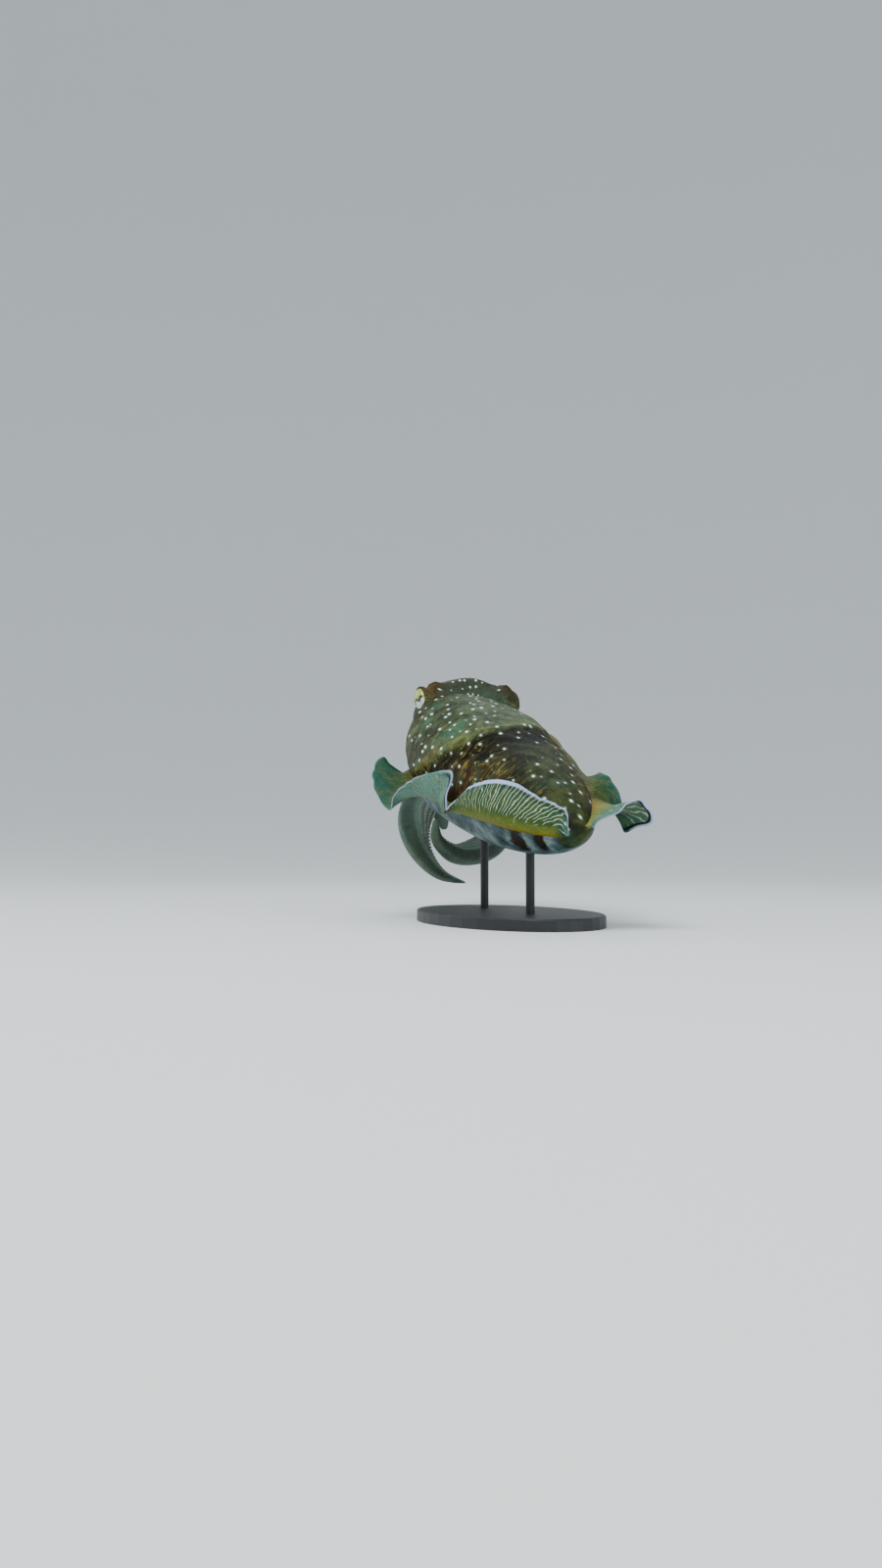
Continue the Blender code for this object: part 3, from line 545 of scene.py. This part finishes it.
def fin_finish():
    """Thin muscle sheet, translucent at its rim: pale bars cross it toward the edge,
    which carries a blue-white hem with a dark line inside it."""
    f = Finish("translucent fin membrane", Roughness=0.52, IOR=1.38, Specular_IOR_Level=0.22,
               Subsurface_Weight=0.25, Subsurface_Radius=(0.006, 0.006, 0.003), Subsurface_Scale=1.0)
    where = f.solid_place()
    across = f.number("across")
    small = f.noise(where, 120, 3, 0.6)
    grains = f.noise(where, 420, 2, 0.6)
    base = f.ramp(across, (0.0, "84501c"), (0.10, "967434"), (0.24, "93904a"), (0.42, "6f7c44"),
                  (0.58, "3c5634"), (1.0, "3a5c48"))
    pale = f.ramp(across, (0.0, "6b6a34"), (0.22, "748a60"), (0.50, "72988a"), (1.0, "72978e"))
    dark = f.ramp(across, (0.0, "46391a"), (0.20, "3a4e2a"), (0.50, "325448"), (1.0, "3f7069"))
    tone = f.mix(f.number("pale"), base, pale)
    tone = f.mix(f.number("deep"), tone, dark)
    tone = f.mix(f.times(f.span(small, 0.44, 0.64), 0.30), tone, "80844a")
    # bars: about 5 mm apart and 0.8 mm wide, square to the edge, wavy, of uneven length
    sway = f.noise(f.skin_place(0.08, 0.10), 1.0, 2.5, 0.55, flat=True)
    wave = f.math("SINE", f.math("ADD", f.times(f.number("bar_mm"), TURN / BAR_GAP_MM),
                                 f.times(sway, 11.0)))
    reach = f.noise(f.skin_place(0.24, 0.0), 1.0, 1.0, 0.5, flat=True)
    inner = f.math("SUBTRACT", across, f.times(reach, 0.45))
    narrow = f.times(across, 0.16)
    bars = f.times(f.span(f.math("ADD", wave, narrow), 0.80, 1.02), f.span(inner, 0.28, 0.40))
    bars = f.times(bars, f.number("bars"))
    tone = f.add("HueSaturation", {"Color": tone}, in_Saturation=1.25, in_Value=0.68).outputs[0]
    tone = f.mix(f.times(bars, 0.72), tone, "c6d2b8")
    tone = f.mix(f.times(f.span(grains, 0.60, 0.36), 0.30), tone, "10160c")
    line = f.times(f.span(across, 0.905, 0.925), f.span(across, 0.968, 0.950))
    tone = f.mix(f.times(line, f.number("black_line")), tone, "0f140c")
    rim = f.math("ADD", across, f.math("MULTIPLY_ADD", f.number("hem"), 0.016, -0.016))
    tone = f.mix(f.times(f.span(rim, 0.948, 0.968), f.math("POWER", f.number("hem"), 0.5)), tone, "a9baea")
    height = f.math("ADD", f.times(wave, 0.25), f.times(grains, 0.6))
    bump = f.add("Bump", {"Height": height}, in_Strength=0.4, in_Distance=0.0010)
    return f.on(Base_Color=tone, Normal=bump.outputs["Normal"])


def eye_finish():
    """Wet eyeball: a clear hard gloss over a yellow-green iris, a black wavy pupil and a
    silvery white lower half."""
    f = Finish("wet eyeball", Roughness=0.07, IOR=1.376, Coat_Weight=1.0, Coat_Roughness=0.02)
    where = f.solid_place()
    fleck = f.noise(where, 900, 3, 0.6)
    iris = f.ramp(fleck, (0.35, "5f7a1c"), (0.50, "93b03a"), (0.66, "c4d66a"))
    white = f.ramp(fleck, (0.36, "b9c2b4"), (0.55, "e6ebe2"), (0.70, "f6f8f2"))
    tone = f.mix(f.number("white"), iris, white)
    tone = f.mix(f.number("ring"), tone, "3a3c16")
    tone = f.mix(f.number("pupil"), tone, "050604")
    return f.on(Base_Color=tone)


def sucker_finish():
    """Sucker: pale, slightly translucent muscle, with painted shade darkening it down in the cup."""
    f = Finish("sucker muscle", Roughness=0.36, IOR=1.38, Coat_Weight=0.3, Coat_Roughness=0.2,
               Subsurface_Weight=0.2, Subsurface_Radius=(0.003, 0.002, 0.0015), Subsurface_Scale=1.0)
    rough = f.noise(f.solid_place(), 500, 2, 0.5)
    tone = f.ramp(rough, (0.35, "8b9a8a"), (0.60, "bcc7b6"))
    tone = f.mix(f.span(f.number("far"), 0.30, 0.75, 0.0, 0.75), tone, "4c6459")
    # painted shade down in the cup
    tone = f.mix(f.number("cup"), tone, "3a4236")
    return f.on(Base_Color=tone)


def steel_finish():
    """Powder-coated mild steel: a matt black with a fine orange-peel grain."""
    f = Finish("black powder-coated steel", Roughness=0.5, IOR=1.5)
    grain = f.noise(f.solid_place(), 900, 2, 0.5)
    tone = f.ramp(grain, (0.35, "121315"), (0.65, "1f2124"))
    bump = f.add("Bump", {"Height": grain}, in_Strength=0.12, in_Distance=0.0004)
    return f.on(Base_Color=tone, Roughness=f.span(grain, 0.3, 0.7, 0.42, 0.56), Normal=bump.outputs["Normal"])


def paper_finish():
    """Matt background paper: even and pale, with hardly any gleam."""
    f = Finish("pale matt paper", Roughness=0.85)
    f.shader.inputs["Base Color"].default_value = colour("dfe3e4")
    return f.made


# the animal's surfaces

SKIN_NUMBERS = ("along_mm", "around_mm", "front", "dark", "band", "flank", "rust", "belly", "blotch",
                "head", "brow", "limb", "limb_edge", "oral", "spots")


def skin_numbers(**given):
    """All the skin's numbers, those that aren't given at 0."""
    return {name: given.get(name, 0.0) for name in SKIN_NUMBERS}


def swell(x, spec):
    """Size times sqrt(1 - (1 - x/widest)^blunt) behind the widest, less a square taper."""
    size, widest, blunt, taper = spec
    rear = np.sqrt(np.clip(1 - np.clip(1 - x / widest, 0, 1) ** blunt, 0, 1))
    front = np.clip((x - widest) / (1 - widest), 0, 1)
    return size * rear * (1 - taper * front**2)


def mantle_point(x, angle, shrink=0.0):
    """Half width times cos, and height or depth times a power of sin, along x."""
    x, angle = np.broadcast_arrays(np.asarray(x, float), np.asarray(angle, float))
    shrink = np.broadcast_to(shrink, x.shape)
    wide, tall, deep = (np.maximum(swell(x, spec) - shrink, 0)
                        for spec in (MANTLE_WIDE, MANTLE_TALL, MANTLE_DEEP))
    c, s = np.cos(angle), np.sin(angle)
    z = np.where(s > 0, tall * np.abs(s) ** TOP_POWER, -deep * np.abs(s) ** BOTTOM_POWER)
    back = np.where(s > 0, FRONT_LOBE * (1 - s), FRONT_LOBE - FRONT_NOTCH * s)
    return np.stack([x * (1 - back * x**2), wide * c + FRONT_SWERVE * x**3,
                     z + FRONT_LIFT * x**3], -1)


def fold_distance(u, degrees):
    """How far behind the pale fold a place is: the fold curves forward down both flanks."""
    return 0.522 + 0.24 * ((degrees - 105) / 87) ** 2 - u


def mantle_sheet(sheet):
    """The swell formula on a fine grid, dipped behind the pale fold, then a lip that
    turns in to the collar's floor."""
    rows, cols = 150, 190
    share = np.linspace(0, 1, rows)
    angle = np.linspace(-math.pi / 2, 1.5 * math.pi, cols)
    u, a = np.meshgrid(0.55 * share + 0.45 * share**1.6, angle, indexing="ij")
    behind = fold_distance(u, np.degrees(a))
    upper = ease(np.sin(a), 0.0, 0.35)
    dip = FOLD_DEPTH * ease(behind, -0.012, 0.022) * (1 - ease(behind, 0.05, 0.22)) * upper
    ripple = RIPPLE * np.sin(u * 61 + 2.2 * np.sin(a * 3)) * np.sin(a * 9 + u * 17) * ease(u, 0.05, 0.2)
    outer = mantle_point(u, a, dip + ripple * upper)
    lip = []
    for deep, narrow in ((0.02, 0.35), (0.10, 0.75), (0.35, 1.0), (0.7, 1.1), (1.0, 1.5), (1.0, 12.0)):
        ring = mantle_point(np.ones_like(angle), angle, LIP * narrow)
        ring[:, 0] -= COLLAR_DEPTH * deep
        lip.append(ring)
    points = body_place(np.concatenate([outer, np.array(lip)]))
    u = np.concatenate([u, np.ones((len(lip), cols))])
    a = np.concatenate([a, np.tile(angle, (len(lip), 1))])
    sheet.add(points, False, **mantle_numbers(points, u, a))


def running_mm(points, axis):
    """Millimetres from a grid's first row or column, along its surface."""
    step = np.linalg.norm(np.diff(points, axis=axis), axis=-1) * MM
    return np.concatenate([np.zeros_like(step.take([0], axis)), np.cumsum(step, axis=axis)], axis=axis)


def mantle_numbers(points, u, a):
    """Colour numbers of the mantle: where its pale front, the dark part behind the fold (partly
    painted shade of the fold), the golden flanks, the belly and its blotches lie."""
    middle = points.shape[1] // 2
    around = running_mm(points, 1)
    around -= around[:, middle:middle + 1]
    along = running_mm(points, 0)
    along = 0.6 * along + 0.4 * along[:, middle:middle + 1]
    degrees = np.degrees(a)
    s = np.sin(a)
    behind = fold_distance(u, degrees)
    left = ease(degrees, 102, 58) * ease(degrees, 2, 14)
    right = ease(degrees, 128, 150) * ease(degrees, 190, 172)
    rust = (left * ease(degrees, 80, 45) * ease(behind, -0.25, 0.05)
            + 0.6 * left * bell(u, 0.93, 0.06) + 0.35 * right)
    blotch = sum(strength * bell(u, place, length) * bell(degrees, angle, spread)
                 for strength, place, length, angle, spread in BLOTCHES)
    return skin_numbers(
        along_mm=along, around_mm=around, front=ease(behind, 0.03, -0.02),
        # dark: the skin's dark part behind the fold, with painted shade of the fold just behind it
        dark=ease(behind, -0.008, 0.016) * (1 - 0.85 * ease(behind, 0.09, 0.27)) * ease(s, 0.0, 0.3),
        band=bell(behind, -0.028, 0.036) * ease(s, 0.05, 0.3) * (0.30 + 0.70 * ease(degrees, 92, 55)),
        flank=np.clip(left + 0.8 * right, 0, 1) * ease(u, 0.04, 0.15), rust=rust,
        belly=ease(-s, -0.06, 0.02) * ease(u, 0.012, 0.060), blotch=blotch,
        spots=ease(s, 0.02, 0.18) * (0.98 + 0.10 * (1 - right) * ease(behind, 0.06, -0.06)))


def head_point(x, angle):
    """Rounded sections along the head: a low dome on top, a mound that wraps each eye
    from behind, and a blunt brow above it."""
    x, angle = np.broadcast_arrays(np.asarray(x, float), np.asarray(angle, float))
    wide, top, low = (smooth(x.ravel(), HEAD_X, sizes).reshape(x.shape)
                      for sizes in (HEAD_WIDE, HEAD_TOP, HEAD_LOW))
    c, s = np.cos(angle), np.sin(angle)
    y = wide * np.sign(c) * np.abs(c) ** 0.95
    z = np.where(s > 0, top * np.abs(s) ** 1.12, -low * np.abs(s) ** 0.95)
    side = np.arctan2(s, np.abs(c))
    mound = bell(x, EYE_AT[0], 0.050) * bell(side, 0.25, 0.50)
    orbit = np.where(c < 0, ORBIT_RIGHT * bell(x, EYE_AT[0] - 0.036, 0.036) * bell(side, 0.32, 0.60),
                     ORBIT_LEFT * bell(x, EYE_AT[0] - 0.040, 0.036) * bell(side, 0.20, 0.50))
    brow = BROW * bell(x, EYE_AT[0] - 0.016, 0.038) * bell(side, 0.74, 0.19)
    push = 1 + np.where(c < 0, 0.7, 0.4) * EYE_MOUND * mound / 0.15
    crest = CREST * bell(c, -0.12, 0.32) * (s > 0) * bell(x, 0.0, 0.08)
    return np.stack([x, y * push + np.sign(c) * (orbit + 0.35 * brow), z * push + brow + crest], -1)


def head_sheet(sheet):
    """The neck's mantle rings blended into the head's own rings, closed at the crown."""
    cols = 160
    angle = circle(cols)
    keys, rings = [], []
    for x, narrow in ((0.90, 1.9), (0.955, 1.7), (1.0, 1.5)):
        inner = mantle_point(np.ones_like(angle), angle, LIP * narrow)
        inner[:, 0] += x - 1.0
        rings.append(body_place(inner))
        keys.append(-0.17 + (x - 0.90))
    first = head_place(head_point(np.full_like(angle, -0.045), angle))
    rings.append(0.45 * rings[-1] + 0.55 * first)
    keys.append(-0.045)
    for x in np.linspace(-0.030, 0.160, 20):
        rings.append(head_place(head_point(np.full_like(angle, x), angle)))
        keys.append(x)
    fine = np.linspace(keys[0], 0.160, 110)
    body = smooth(fine, keys, np.array(rings).reshape(len(rings), -1)).reshape(len(fine), cols, 3)
    caps = []
    for x, narrow in ((0.168, 0.96), (0.172, 0.88), (0.174, 0.70), (0.172, 0.4), (0.166, 0.0)):
        ring = head_point(np.full_like(angle, 0.16), angle) * narrow
        ring[:, 0] = x
        caps.append(head_place(ring))
    sheet.add(np.concatenate([pole(rings[0][None]), body, np.array(caps)]))


def eye_centre(side):
    """The middle of an eyeball, in head shares."""
    return np.array([EYE_AT[0], side * EYE_AT[1], EYE_AT[2]])


def eye_axes(side):
    """The eye's forward direction and the direction it looks in, in the head's axes."""
    c, s = math.cos(EYE_TURN[side]), math.sin(EYE_TURN[side])
    return np.array([c, side * s, 0]), np.array([-s, side * c, 0])


def lid_sheets(sheet):
    """Round each eye a fold of skin: a tube bent to the eyeball's outline, thicker above."""
    around, tube = np.meshgrid(circle(72), circle(20), indexing="ij")
    for side in (1, -1):
        thick = LID + 0.0016 * np.sin(around) - 0.0016 * np.cos(around) + 0.0004 * np.sin(5 * around)
        ahead, out = eye_axes(side)
        away = np.cos(around)[..., None] * ahead + np.sin(around)[..., None] * np.array([0, 0, 1.0])
        points = (eye_centre(side) + 0.0055 * out + (EYE_SIZE[2] - 0.0025) * away
                  + thick[..., None] * (np.cos(tube)[..., None] * away + 1.2 * np.sin(tube)[..., None] * out))
        sheet.add(np.concatenate([head_place(points), head_place(points[:1])]))


def papilla_sheets(sheet):
    """Low papillae in a row over each brow: spheres sunk to half in the skin."""
    la, lo = sphere_angles(12, 16)
    ball = np.stack([np.sin(la) * np.cos(lo), np.sin(la) * np.sin(lo), np.cos(la)], -1)
    for along, lift, size in ((-0.036, 0.80, 0.0055), (-0.012, 0.66, 0.0065), (0.012, 0.84, 0.0070),
                              (0.034, 0.72, 0.0080), (0.056, 0.84, 0.0065), (0.080, 0.66, 0.0060)):
        for angle in (lift, math.pi - lift):
            sheet.add(head_place(head_point(along, angle) + size * ball))


def arm_frames(name, t):
    """At shares t of an arm's length: its middle line through the bends, the directions
    along it, to its side and to its suckers, and half its width and depth."""
    turn, bends, radii, flat = ARMS[name]
    around = math.radians(turn)
    base = np.array([CROWN_X, CROWN_WIDE * math.sin(around), (CROWN_TALL - ROOT_DROP) * math.cos(around)])
    path = np.array([base, base + np.array([0.045, 0, 0])] + list(bends))
    steps = np.linalg.norm(np.diff(path, axis=0), axis=1)
    shares = np.concatenate([[0], np.cumsum(steps)]) / steps.sum()
    middle = smooth(t, shares, path)
    after, before = (smooth(np.clip(t + gap, 0, 1), shares, path) for gap in (0.004, -0.004))
    tangent = unit(after - before)
    toward = np.array(ORAL_TARGET) - middle
    toward = unit(toward - (toward * tangent).sum(1, keepdims=True) * tangent)
    wide = smooth(t, np.linspace(0, 1, len(radii)), radii)
    return SimpleNamespace(middle=middle, tangent=tangent, toward=toward,
                           across=np.cross(tangent, toward), wide=wide,
                           deep=wide * (1 + (flat - 1) * np.clip(t * 4, 0, 1)), length=steps.sum())


def arm_sheets(sheet):
    """An ellipse carried along each arm's line, flat on its sucker face with a low web
    along both edges of it, the root flared and the tip drawn in."""
    t = np.linspace(0, 1, 110)
    angle = circle(36)
    c, s = np.cos(angle), np.sin(angle)
    web = 1 + 0.14 * bell(angle, math.radians(28), 0.22) + 0.14 * bell(angle, math.radians(152), 0.22)
    low = np.where(s > 0, SUCKER_FACE, 1.0)
    tip = np.sqrt(np.clip((1 - t) / 0.012, 0, 1)) * (1 + 0.12 * np.exp(-t / 0.05))
    for name in ARMS:
        arm = arm_frames(name, t)
        offset = (arm.wide[:, None, None] * (c * web)[None, :, None] * arm.across[:, None]
                  + arm.deep[:, None, None] * (s * low * web)[None, :, None] * arm.toward[:, None])
        points = head_place(arm.middle[:, None] + offset * tip[:, None, None])
        sheet.add(np.concatenate([pole(points[:1]), points]))


def funnel_sheet(sheet):
    """A short tapering tube under the neck with a turned-in mouth."""
    path = np.array([(-0.10, 0.030, -0.095), (-0.05, 0.022, -0.118), (0.0, 0.012, -0.134),
                     (0.045, 0.006, -0.146), (0.080, 0.002, -0.160)])
    shares = np.linspace(0, 1, len(path))
    t = np.linspace(0, 1, 40)
    middle, radius = smooth(t, shares, path), smooth(t, shares, (0.050, 0.048, 0.043, 0.034, 0.027))
    ahead = unit(np.gradient(middle, axis=0))
    side = unit(np.cross([0, 0, 1.0], ahead))
    up = np.cross(ahead, side)
    angle = circle(48)
    ring = np.cos(angle)[None, :, None] * side[:, None] + 0.8 * np.sin(angle)[None, :, None] * up[:, None]
    outer = middle[:, None] + radius[:, None, None] * ring
    inner = [path[-1] - back * ahead[-1] + (outer[-1] - path[-1]) * narrow
             for back, narrow in ((-0.001, 0.92), (0.001, 0.80), (0.012, 0.68), (0.022, 0.60), (0.022, 0.0))]
    points = head_place(np.concatenate([outer, np.array(inner)]))
    sheet.add(np.concatenate([pole(points[:1]), points]))


def nearest_arm(place):
    """How near each place is to an arm, in that arm's widths, and where on the nearest
    arm it lies: share of length, angle, offsets to its side and suckers, its length."""
    best = np.full(len(place), 9.0)
    found = {key: np.zeros(len(place)) for key in ("t", "turn", "side", "face", "length")}
    t = np.linspace(0.0, 1, 70)
    every = np.arange(len(place))
    for name in ARMS:
        arm = arm_frames(name, t)
        off = place[:, None] - arm.middle[None]
        far = np.linalg.norm(off, axis=-1) / np.maximum(arm.wide, 0.008)
        near = far.argmin(1)
        gap, off = far[every, near], off[every, near]
        side, face = (off * arm.across[near]).sum(1), (off * arm.toward[near]).sum(1)
        width = arm.wide[near]
        take = gap < best
        best = np.where(take, gap, best)
        here = {"t": t[near], "turn": np.arctan2(face, side), "side": side / width,
                "face": face / width, "length": arm.length}
        for key, number in here.items():
            found[key] = np.where(take, number, found[key])
    return best, found


def head_numbers(points):
    """Colour numbers for the fused head and arms, from each point's place."""
    place = head_shares(points)
    best, arm = nearest_arm(place)
    limb = ease(best, 1.75, 1.15) * ease(arm["t"], 0.03, 0.13)
    rest = 1 - limb
    x, y, z = place.T
    wide = np.abs(y)
    brow = (bell(x, EYE_AT[0] - 0.022, 0.034) * ease(wide, 0.088, 0.118) * ease(z, -0.03, 0.060)
            * np.where(y > 0, 1, 0.45))
    along_arm = arm["t"] * arm["length"] * BODY * MM + ARM_PATTERN_MM
    along_head = (x + z) * BODY * MM * 1.25 + HEAD_PATTERN_MM
    around_head = np.arctan2(z / 0.1, y / 0.15) * HEAD_RADIUS_MM
    return skin_numbers(
        along_mm=np.where(limb > 0.5, along_arm, along_head),
        around_mm=np.where(limb > 0.5, arm["turn"] * ARM_RADIUS_MM, around_head),
        front=np.ones(len(place)), head=rest * ease(z, -0.01, 0.04) * ease(wide, 0.150, 0.095),
        brow=brow * rest, belly=ease(z, -0.02, -0.07) * rest,
        limb=limb, limb_edge=limb * ease(np.abs(arm["side"]), 0.72, 0.98),
        oral=limb * ease(arm["face"], 0.30, 0.62), flank=0.45 * ease(wide, 0.09, 0.13) * rest,
        spots=rest * ease(z, 0.0, 0.04) * ease(wide, 0.128, 0.104) * 0.98)


def skin_mesh():
    """The mantle's sheet and the fused head, arms, lids and funnel in one mesh."""
    mantle = Sheet()
    mantle_sheet(mantle)
    head = Sheet()
    for build in (head_sheet, lid_sheets, papilla_sheets, arm_sheets, funnel_sheet):
        build(head)
    soft = fused(head, SKIN_VOXEL, SKIN_ROUNDS)
    for key, numbers in head_numbers(points_of(soft)).items():
        store(soft, key, np.broadcast_to(numbers, len(soft.vertices)))
    work = bmesh.new()
    work.from_mesh(mantle.mesh("mantle"))
    work.from_mesh(soft)
    whole = bpy.data.meshes.new("skin")
    work.to_mesh(whole)
    work.free()
    return whole


def sucker_mesh():
    """Four rows of cups down each arm: one profile spun about each cup's own axis."""
    sheet = Sheet()
    radius, height, hollow = np.array(SUCKER_PROFILE).T[..., None]
    spin = circle(8)
    for name in ARMS:
        rows = int(arm_frames(name, np.array([0.5])).length / SUCKER_GAP)
        t = np.linspace(0.13, 0.975, rows)
        for lane, shift in SUCKER_LANES:
            at = np.clip(t + shift * (t[1] - t[0]), 0, 0.98)
            arm = arm_frames(name, at)
            lean = unit(arm.across * lane * 0.55 + arm.toward)
            lift = arm.deep * SUCKER_FACE * np.sqrt(1 - lane**2 * 0.80)
            seat = arm.middle + arm.across * (lane * arm.wide)[:, None] + arm.toward * lift[:, None]
            size = SUCKER_SIZE * arm.wide * (1 - 0.2 * abs(lane)) * (1 - 0.45 * at) + SUCKER_LEAST
            one = unit(np.cross(lean, arm.tangent))
            two = np.cross(lean, one)
            for k in range(len(at)):
                ring = np.cos(spin)[None, :, None] * one[k] + np.sin(spin)[None, :, None] * two[k]
                cup = seat[k] + size[k] * (radius[..., None] * ring + height[..., None] * lean[k])
                # cup: how much painted shade darkens this point of the cup
                sheet.add(head_place(cup), True, far=at[k], cup=hollow)
    return sheet.mesh("suckers")


def fin_middle(table, side, share, across):
    """Base on the mantle's side plus a bowed path, quadratic in across, to the free edge."""
    rows = np.array(table)
    along = FIN_FRONT + (FIN_REAR - FIN_FRONT) * share
    angle = 0.0 if side > 0 else math.pi
    base = mantle_point(along, np.full_like(along, angle))
    edge = smooth(share.ravel(), rows[:, 0], rows[:, 1:]).reshape(share.shape + (3,))
    out, up, fore = edge[..., 0], edge[..., 1], edge[..., 2]
    bow = np.maximum(FIN_BOW[side], 0.6 * out + 0.030) * np.clip((1.06 - share) / 0.25, 0.3, 1)
    v = across
    bend = 2 * v * (1 - v)
    push_out = bend * bow + v**2 * out - 0.012 * (1 - v) ** 4
    push_up = bend * 0.30 * up + v**2 * up
    push_fore = bend * 0.45 * fore + v**2 * fore
    crimp = FIN_CRIMP * v**4 * np.sin(share * 150 + 2.5 * np.sin(share * 41)) * ease(share, 0.02, 0.1)
    return np.stack([base[..., 0] + push_fore, base[..., 1] + side * (push_out + crimp),
                     base[..., 2] + push_up + 0.6 * crimp], -1)


def fin_mesh(table, side):
    """The fin's middle surface thickened along its normal, closed round its rim."""
    line = np.linspace(0, 1, 430)
    share = 0.75 * line + 0.25 * (0.5 - 0.5 * np.cos(line * math.pi))
    s, a = np.meshgrid(share, np.linspace(0, 1, 40), indexing="ij")

    def surface(share, across):
        """The middle surface in metres, at shares held within the fin."""
        return body_place(fin_middle(table, side, np.clip(share, 0, 1), np.clip(across, 0, 1)))

    def both_faces(grid):
        """A number of the middle surface on its two faces and on the poles at its ends."""
        grid = np.concatenate([grid, grid[:, ::-1]], axis=1)
        return np.concatenate([grid[:1], grid, grid[-1:]])

    mid = surface(s, a)
    normal = np.cross(surface(s + 0.003, a) - surface(s - 0.003, a),
                      surface(s, a + 0.02) - surface(s, a - 0.02))
    normal /= np.maximum(np.linalg.norm(normal, axis=-1, keepdims=True), 1e-12)
    thick = (FIN_ROOT * (1 - a) ** 1.5 + FIN_EDGE * (1 - (1 - a) ** 1.5)) * BODY
    half = normal * thick[..., None]
    loop = np.concatenate([mid + half, (mid - half)[:, ::-1]], axis=1)
    across, along = both_faces(a), both_faces(s)
    marks = {key: between(along, stations) for key, stations in FIN_MARKS[side].items()}
    lean = marks.pop("lean")
    length = FIN_LENGTH * BODY * MM
    sheet = Sheet()
    sheet.add(np.concatenate([pole(loop[:1]), loop, pole(loop[-1:])]), True, across=across,
              along_mm=along * length, bar_mm=(along - lean * (1 - across)) * length,
              around_mm=across * 45, **marks)
    return sheet.mesh("fin")


def eye_mesh(side):
    """An ellipsoid by latitude and longitude. Its numbers mark the wavy pupil, a line
    z = a cos(b x) of even height, the ring round it and the white below it."""
    la, lo = sphere_angles(110, 180)
    ball = np.stack([np.sin(la) * np.cos(lo), side * np.cos(la), np.sin(la) * np.sin(lo)], -1)
    fore = ball @ eye_axes(side)[0]
    x = fore * math.cos(EYE_TILT) - ball[..., 2] * math.sin(EYE_TILT)
    z = fore * math.sin(EYE_TILT) + ball[..., 2] * math.cos(EYE_TILT)
    high = z - (0.12 * np.cos(x * 9.4) - 0.30)
    thick = 0.105 * ease(np.abs(x), 0.86, 0.60) + 0.02
    ring = (0.6 * bell(np.abs(high), thick + 0.05, 0.035) * ease(np.abs(x), 0.90, 0.7)
            + 0.9 * ease(np.hypot(x, z), 0.93, 0.99))
    sheet = Sheet()
    sheet.add(head_place(eye_centre(side) + ball * np.array(EYE_SIZE)), True, ring=ring,
              pupil=ease(np.abs(high), thick + 0.02, thick - 0.01) * ease(np.abs(x), 0.80, 0.72),
              white=ease(high, -0.06, -0.12))
    return sheet.mesh("eyeball")


SKIN, FIN, EYE = skin_finish(), fin_finish(), eye_finish()
STEEL = steel_finish()

piece("skin", skin_mesh(), SKIN, "mantle", "head", "funnel",
      *(f"arm_{name}_{part}" for name in ARMS for part in ("base", "tip")))
piece("suckers", sucker_mesh(), sucker_finish())
for hand, table, side in (("left", FIN_LEFT, 1), ("right", FIN_RIGHT, -1)):
    piece("fin_skin_" + hand, fin_mesh(table, side), FIN, *(f"fin_{hand}_{k}" for k in (1, 2, 3)))
    piece("eyeball_" + hand, eye_mesh(side), EYE, "eye_" + hand)
for node in ("stand_base", "stand_rod_1", "stand_rod_2"):
    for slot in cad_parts[node].material_slots:
        slot.material = STEEL


# floor, light and camera

def studio():
    """A pale floor that curves up all round in a quarter circle, soft lamps, an even sky."""
    turn = np.linspace(0, math.pi / 2, 24)
    out = np.concatenate([[0.0, 0.6], FLOOR_FLAT + FLOOR_CURVE * np.sin(turn), [FLOOR_FLAT + FLOOR_CURVE]])
    height = np.concatenate([[0.0, 0.0], FLOOR_CURVE * (1 - np.cos(turn)), [WALL_TOP]])
    spin = circle(96)
    sheet = Sheet()
    sheet.add(np.stack([out[:, None] * np.cos(spin), out[:, None] * np.sin(spin),
                        np.broadcast_to(height[:, None], (len(out), len(spin)))], -1))
    mesh = sheet.mesh("floor")
    mesh.flip_normals()
    dress(mesh, paper_finish())
    floor = placed("floor", mesh)
    for name, (place, power, size) in LAMPS.items():
        lamp = bpy.data.lights.new(name, "AREA")
        lamp.energy, lamp.size = power, size
        holder = placed(name, lamp)
        holder.location = place
        aim = np.array(LAMPS_AIM_AT) - np.array(place)
        holder.rotation_euler = (math.acos(-aim[2] / np.linalg.norm(aim)), 0,
                                 math.atan2(aim[1], aim[0]) - math.pi / 2)
    world = bpy.data.worlds.new("soft sky")
    bpy.context.scene.world = world
    world.use_nodes = True
    sky = world.node_tree.nodes["Background"].inputs
    sky["Color"].default_value = colour("e6ecf0")
    sky["Strength"].default_value = 1.05


def photo_camera():
    """The photograph's camera: focal length from its pixels on the sensor's long side."""
    data = bpy.data.cameras.new("camera")
    data.lens = FOCAL_PX * SENSOR_MM / FRAME_LONG_PX
    data.sensor_width = SENSOR_MM
    data.clip_end = 60.0
    camera = placed("camera", data)
    camera.location = CAMERA_AT
    camera.rotation_euler = (math.pi / 2 + CAMERA_LOOKS_UP, 0, CAMERA_HEADING - math.pi / 2)
    bpy.context.scene.camera = camera


studio()
photo_camera()
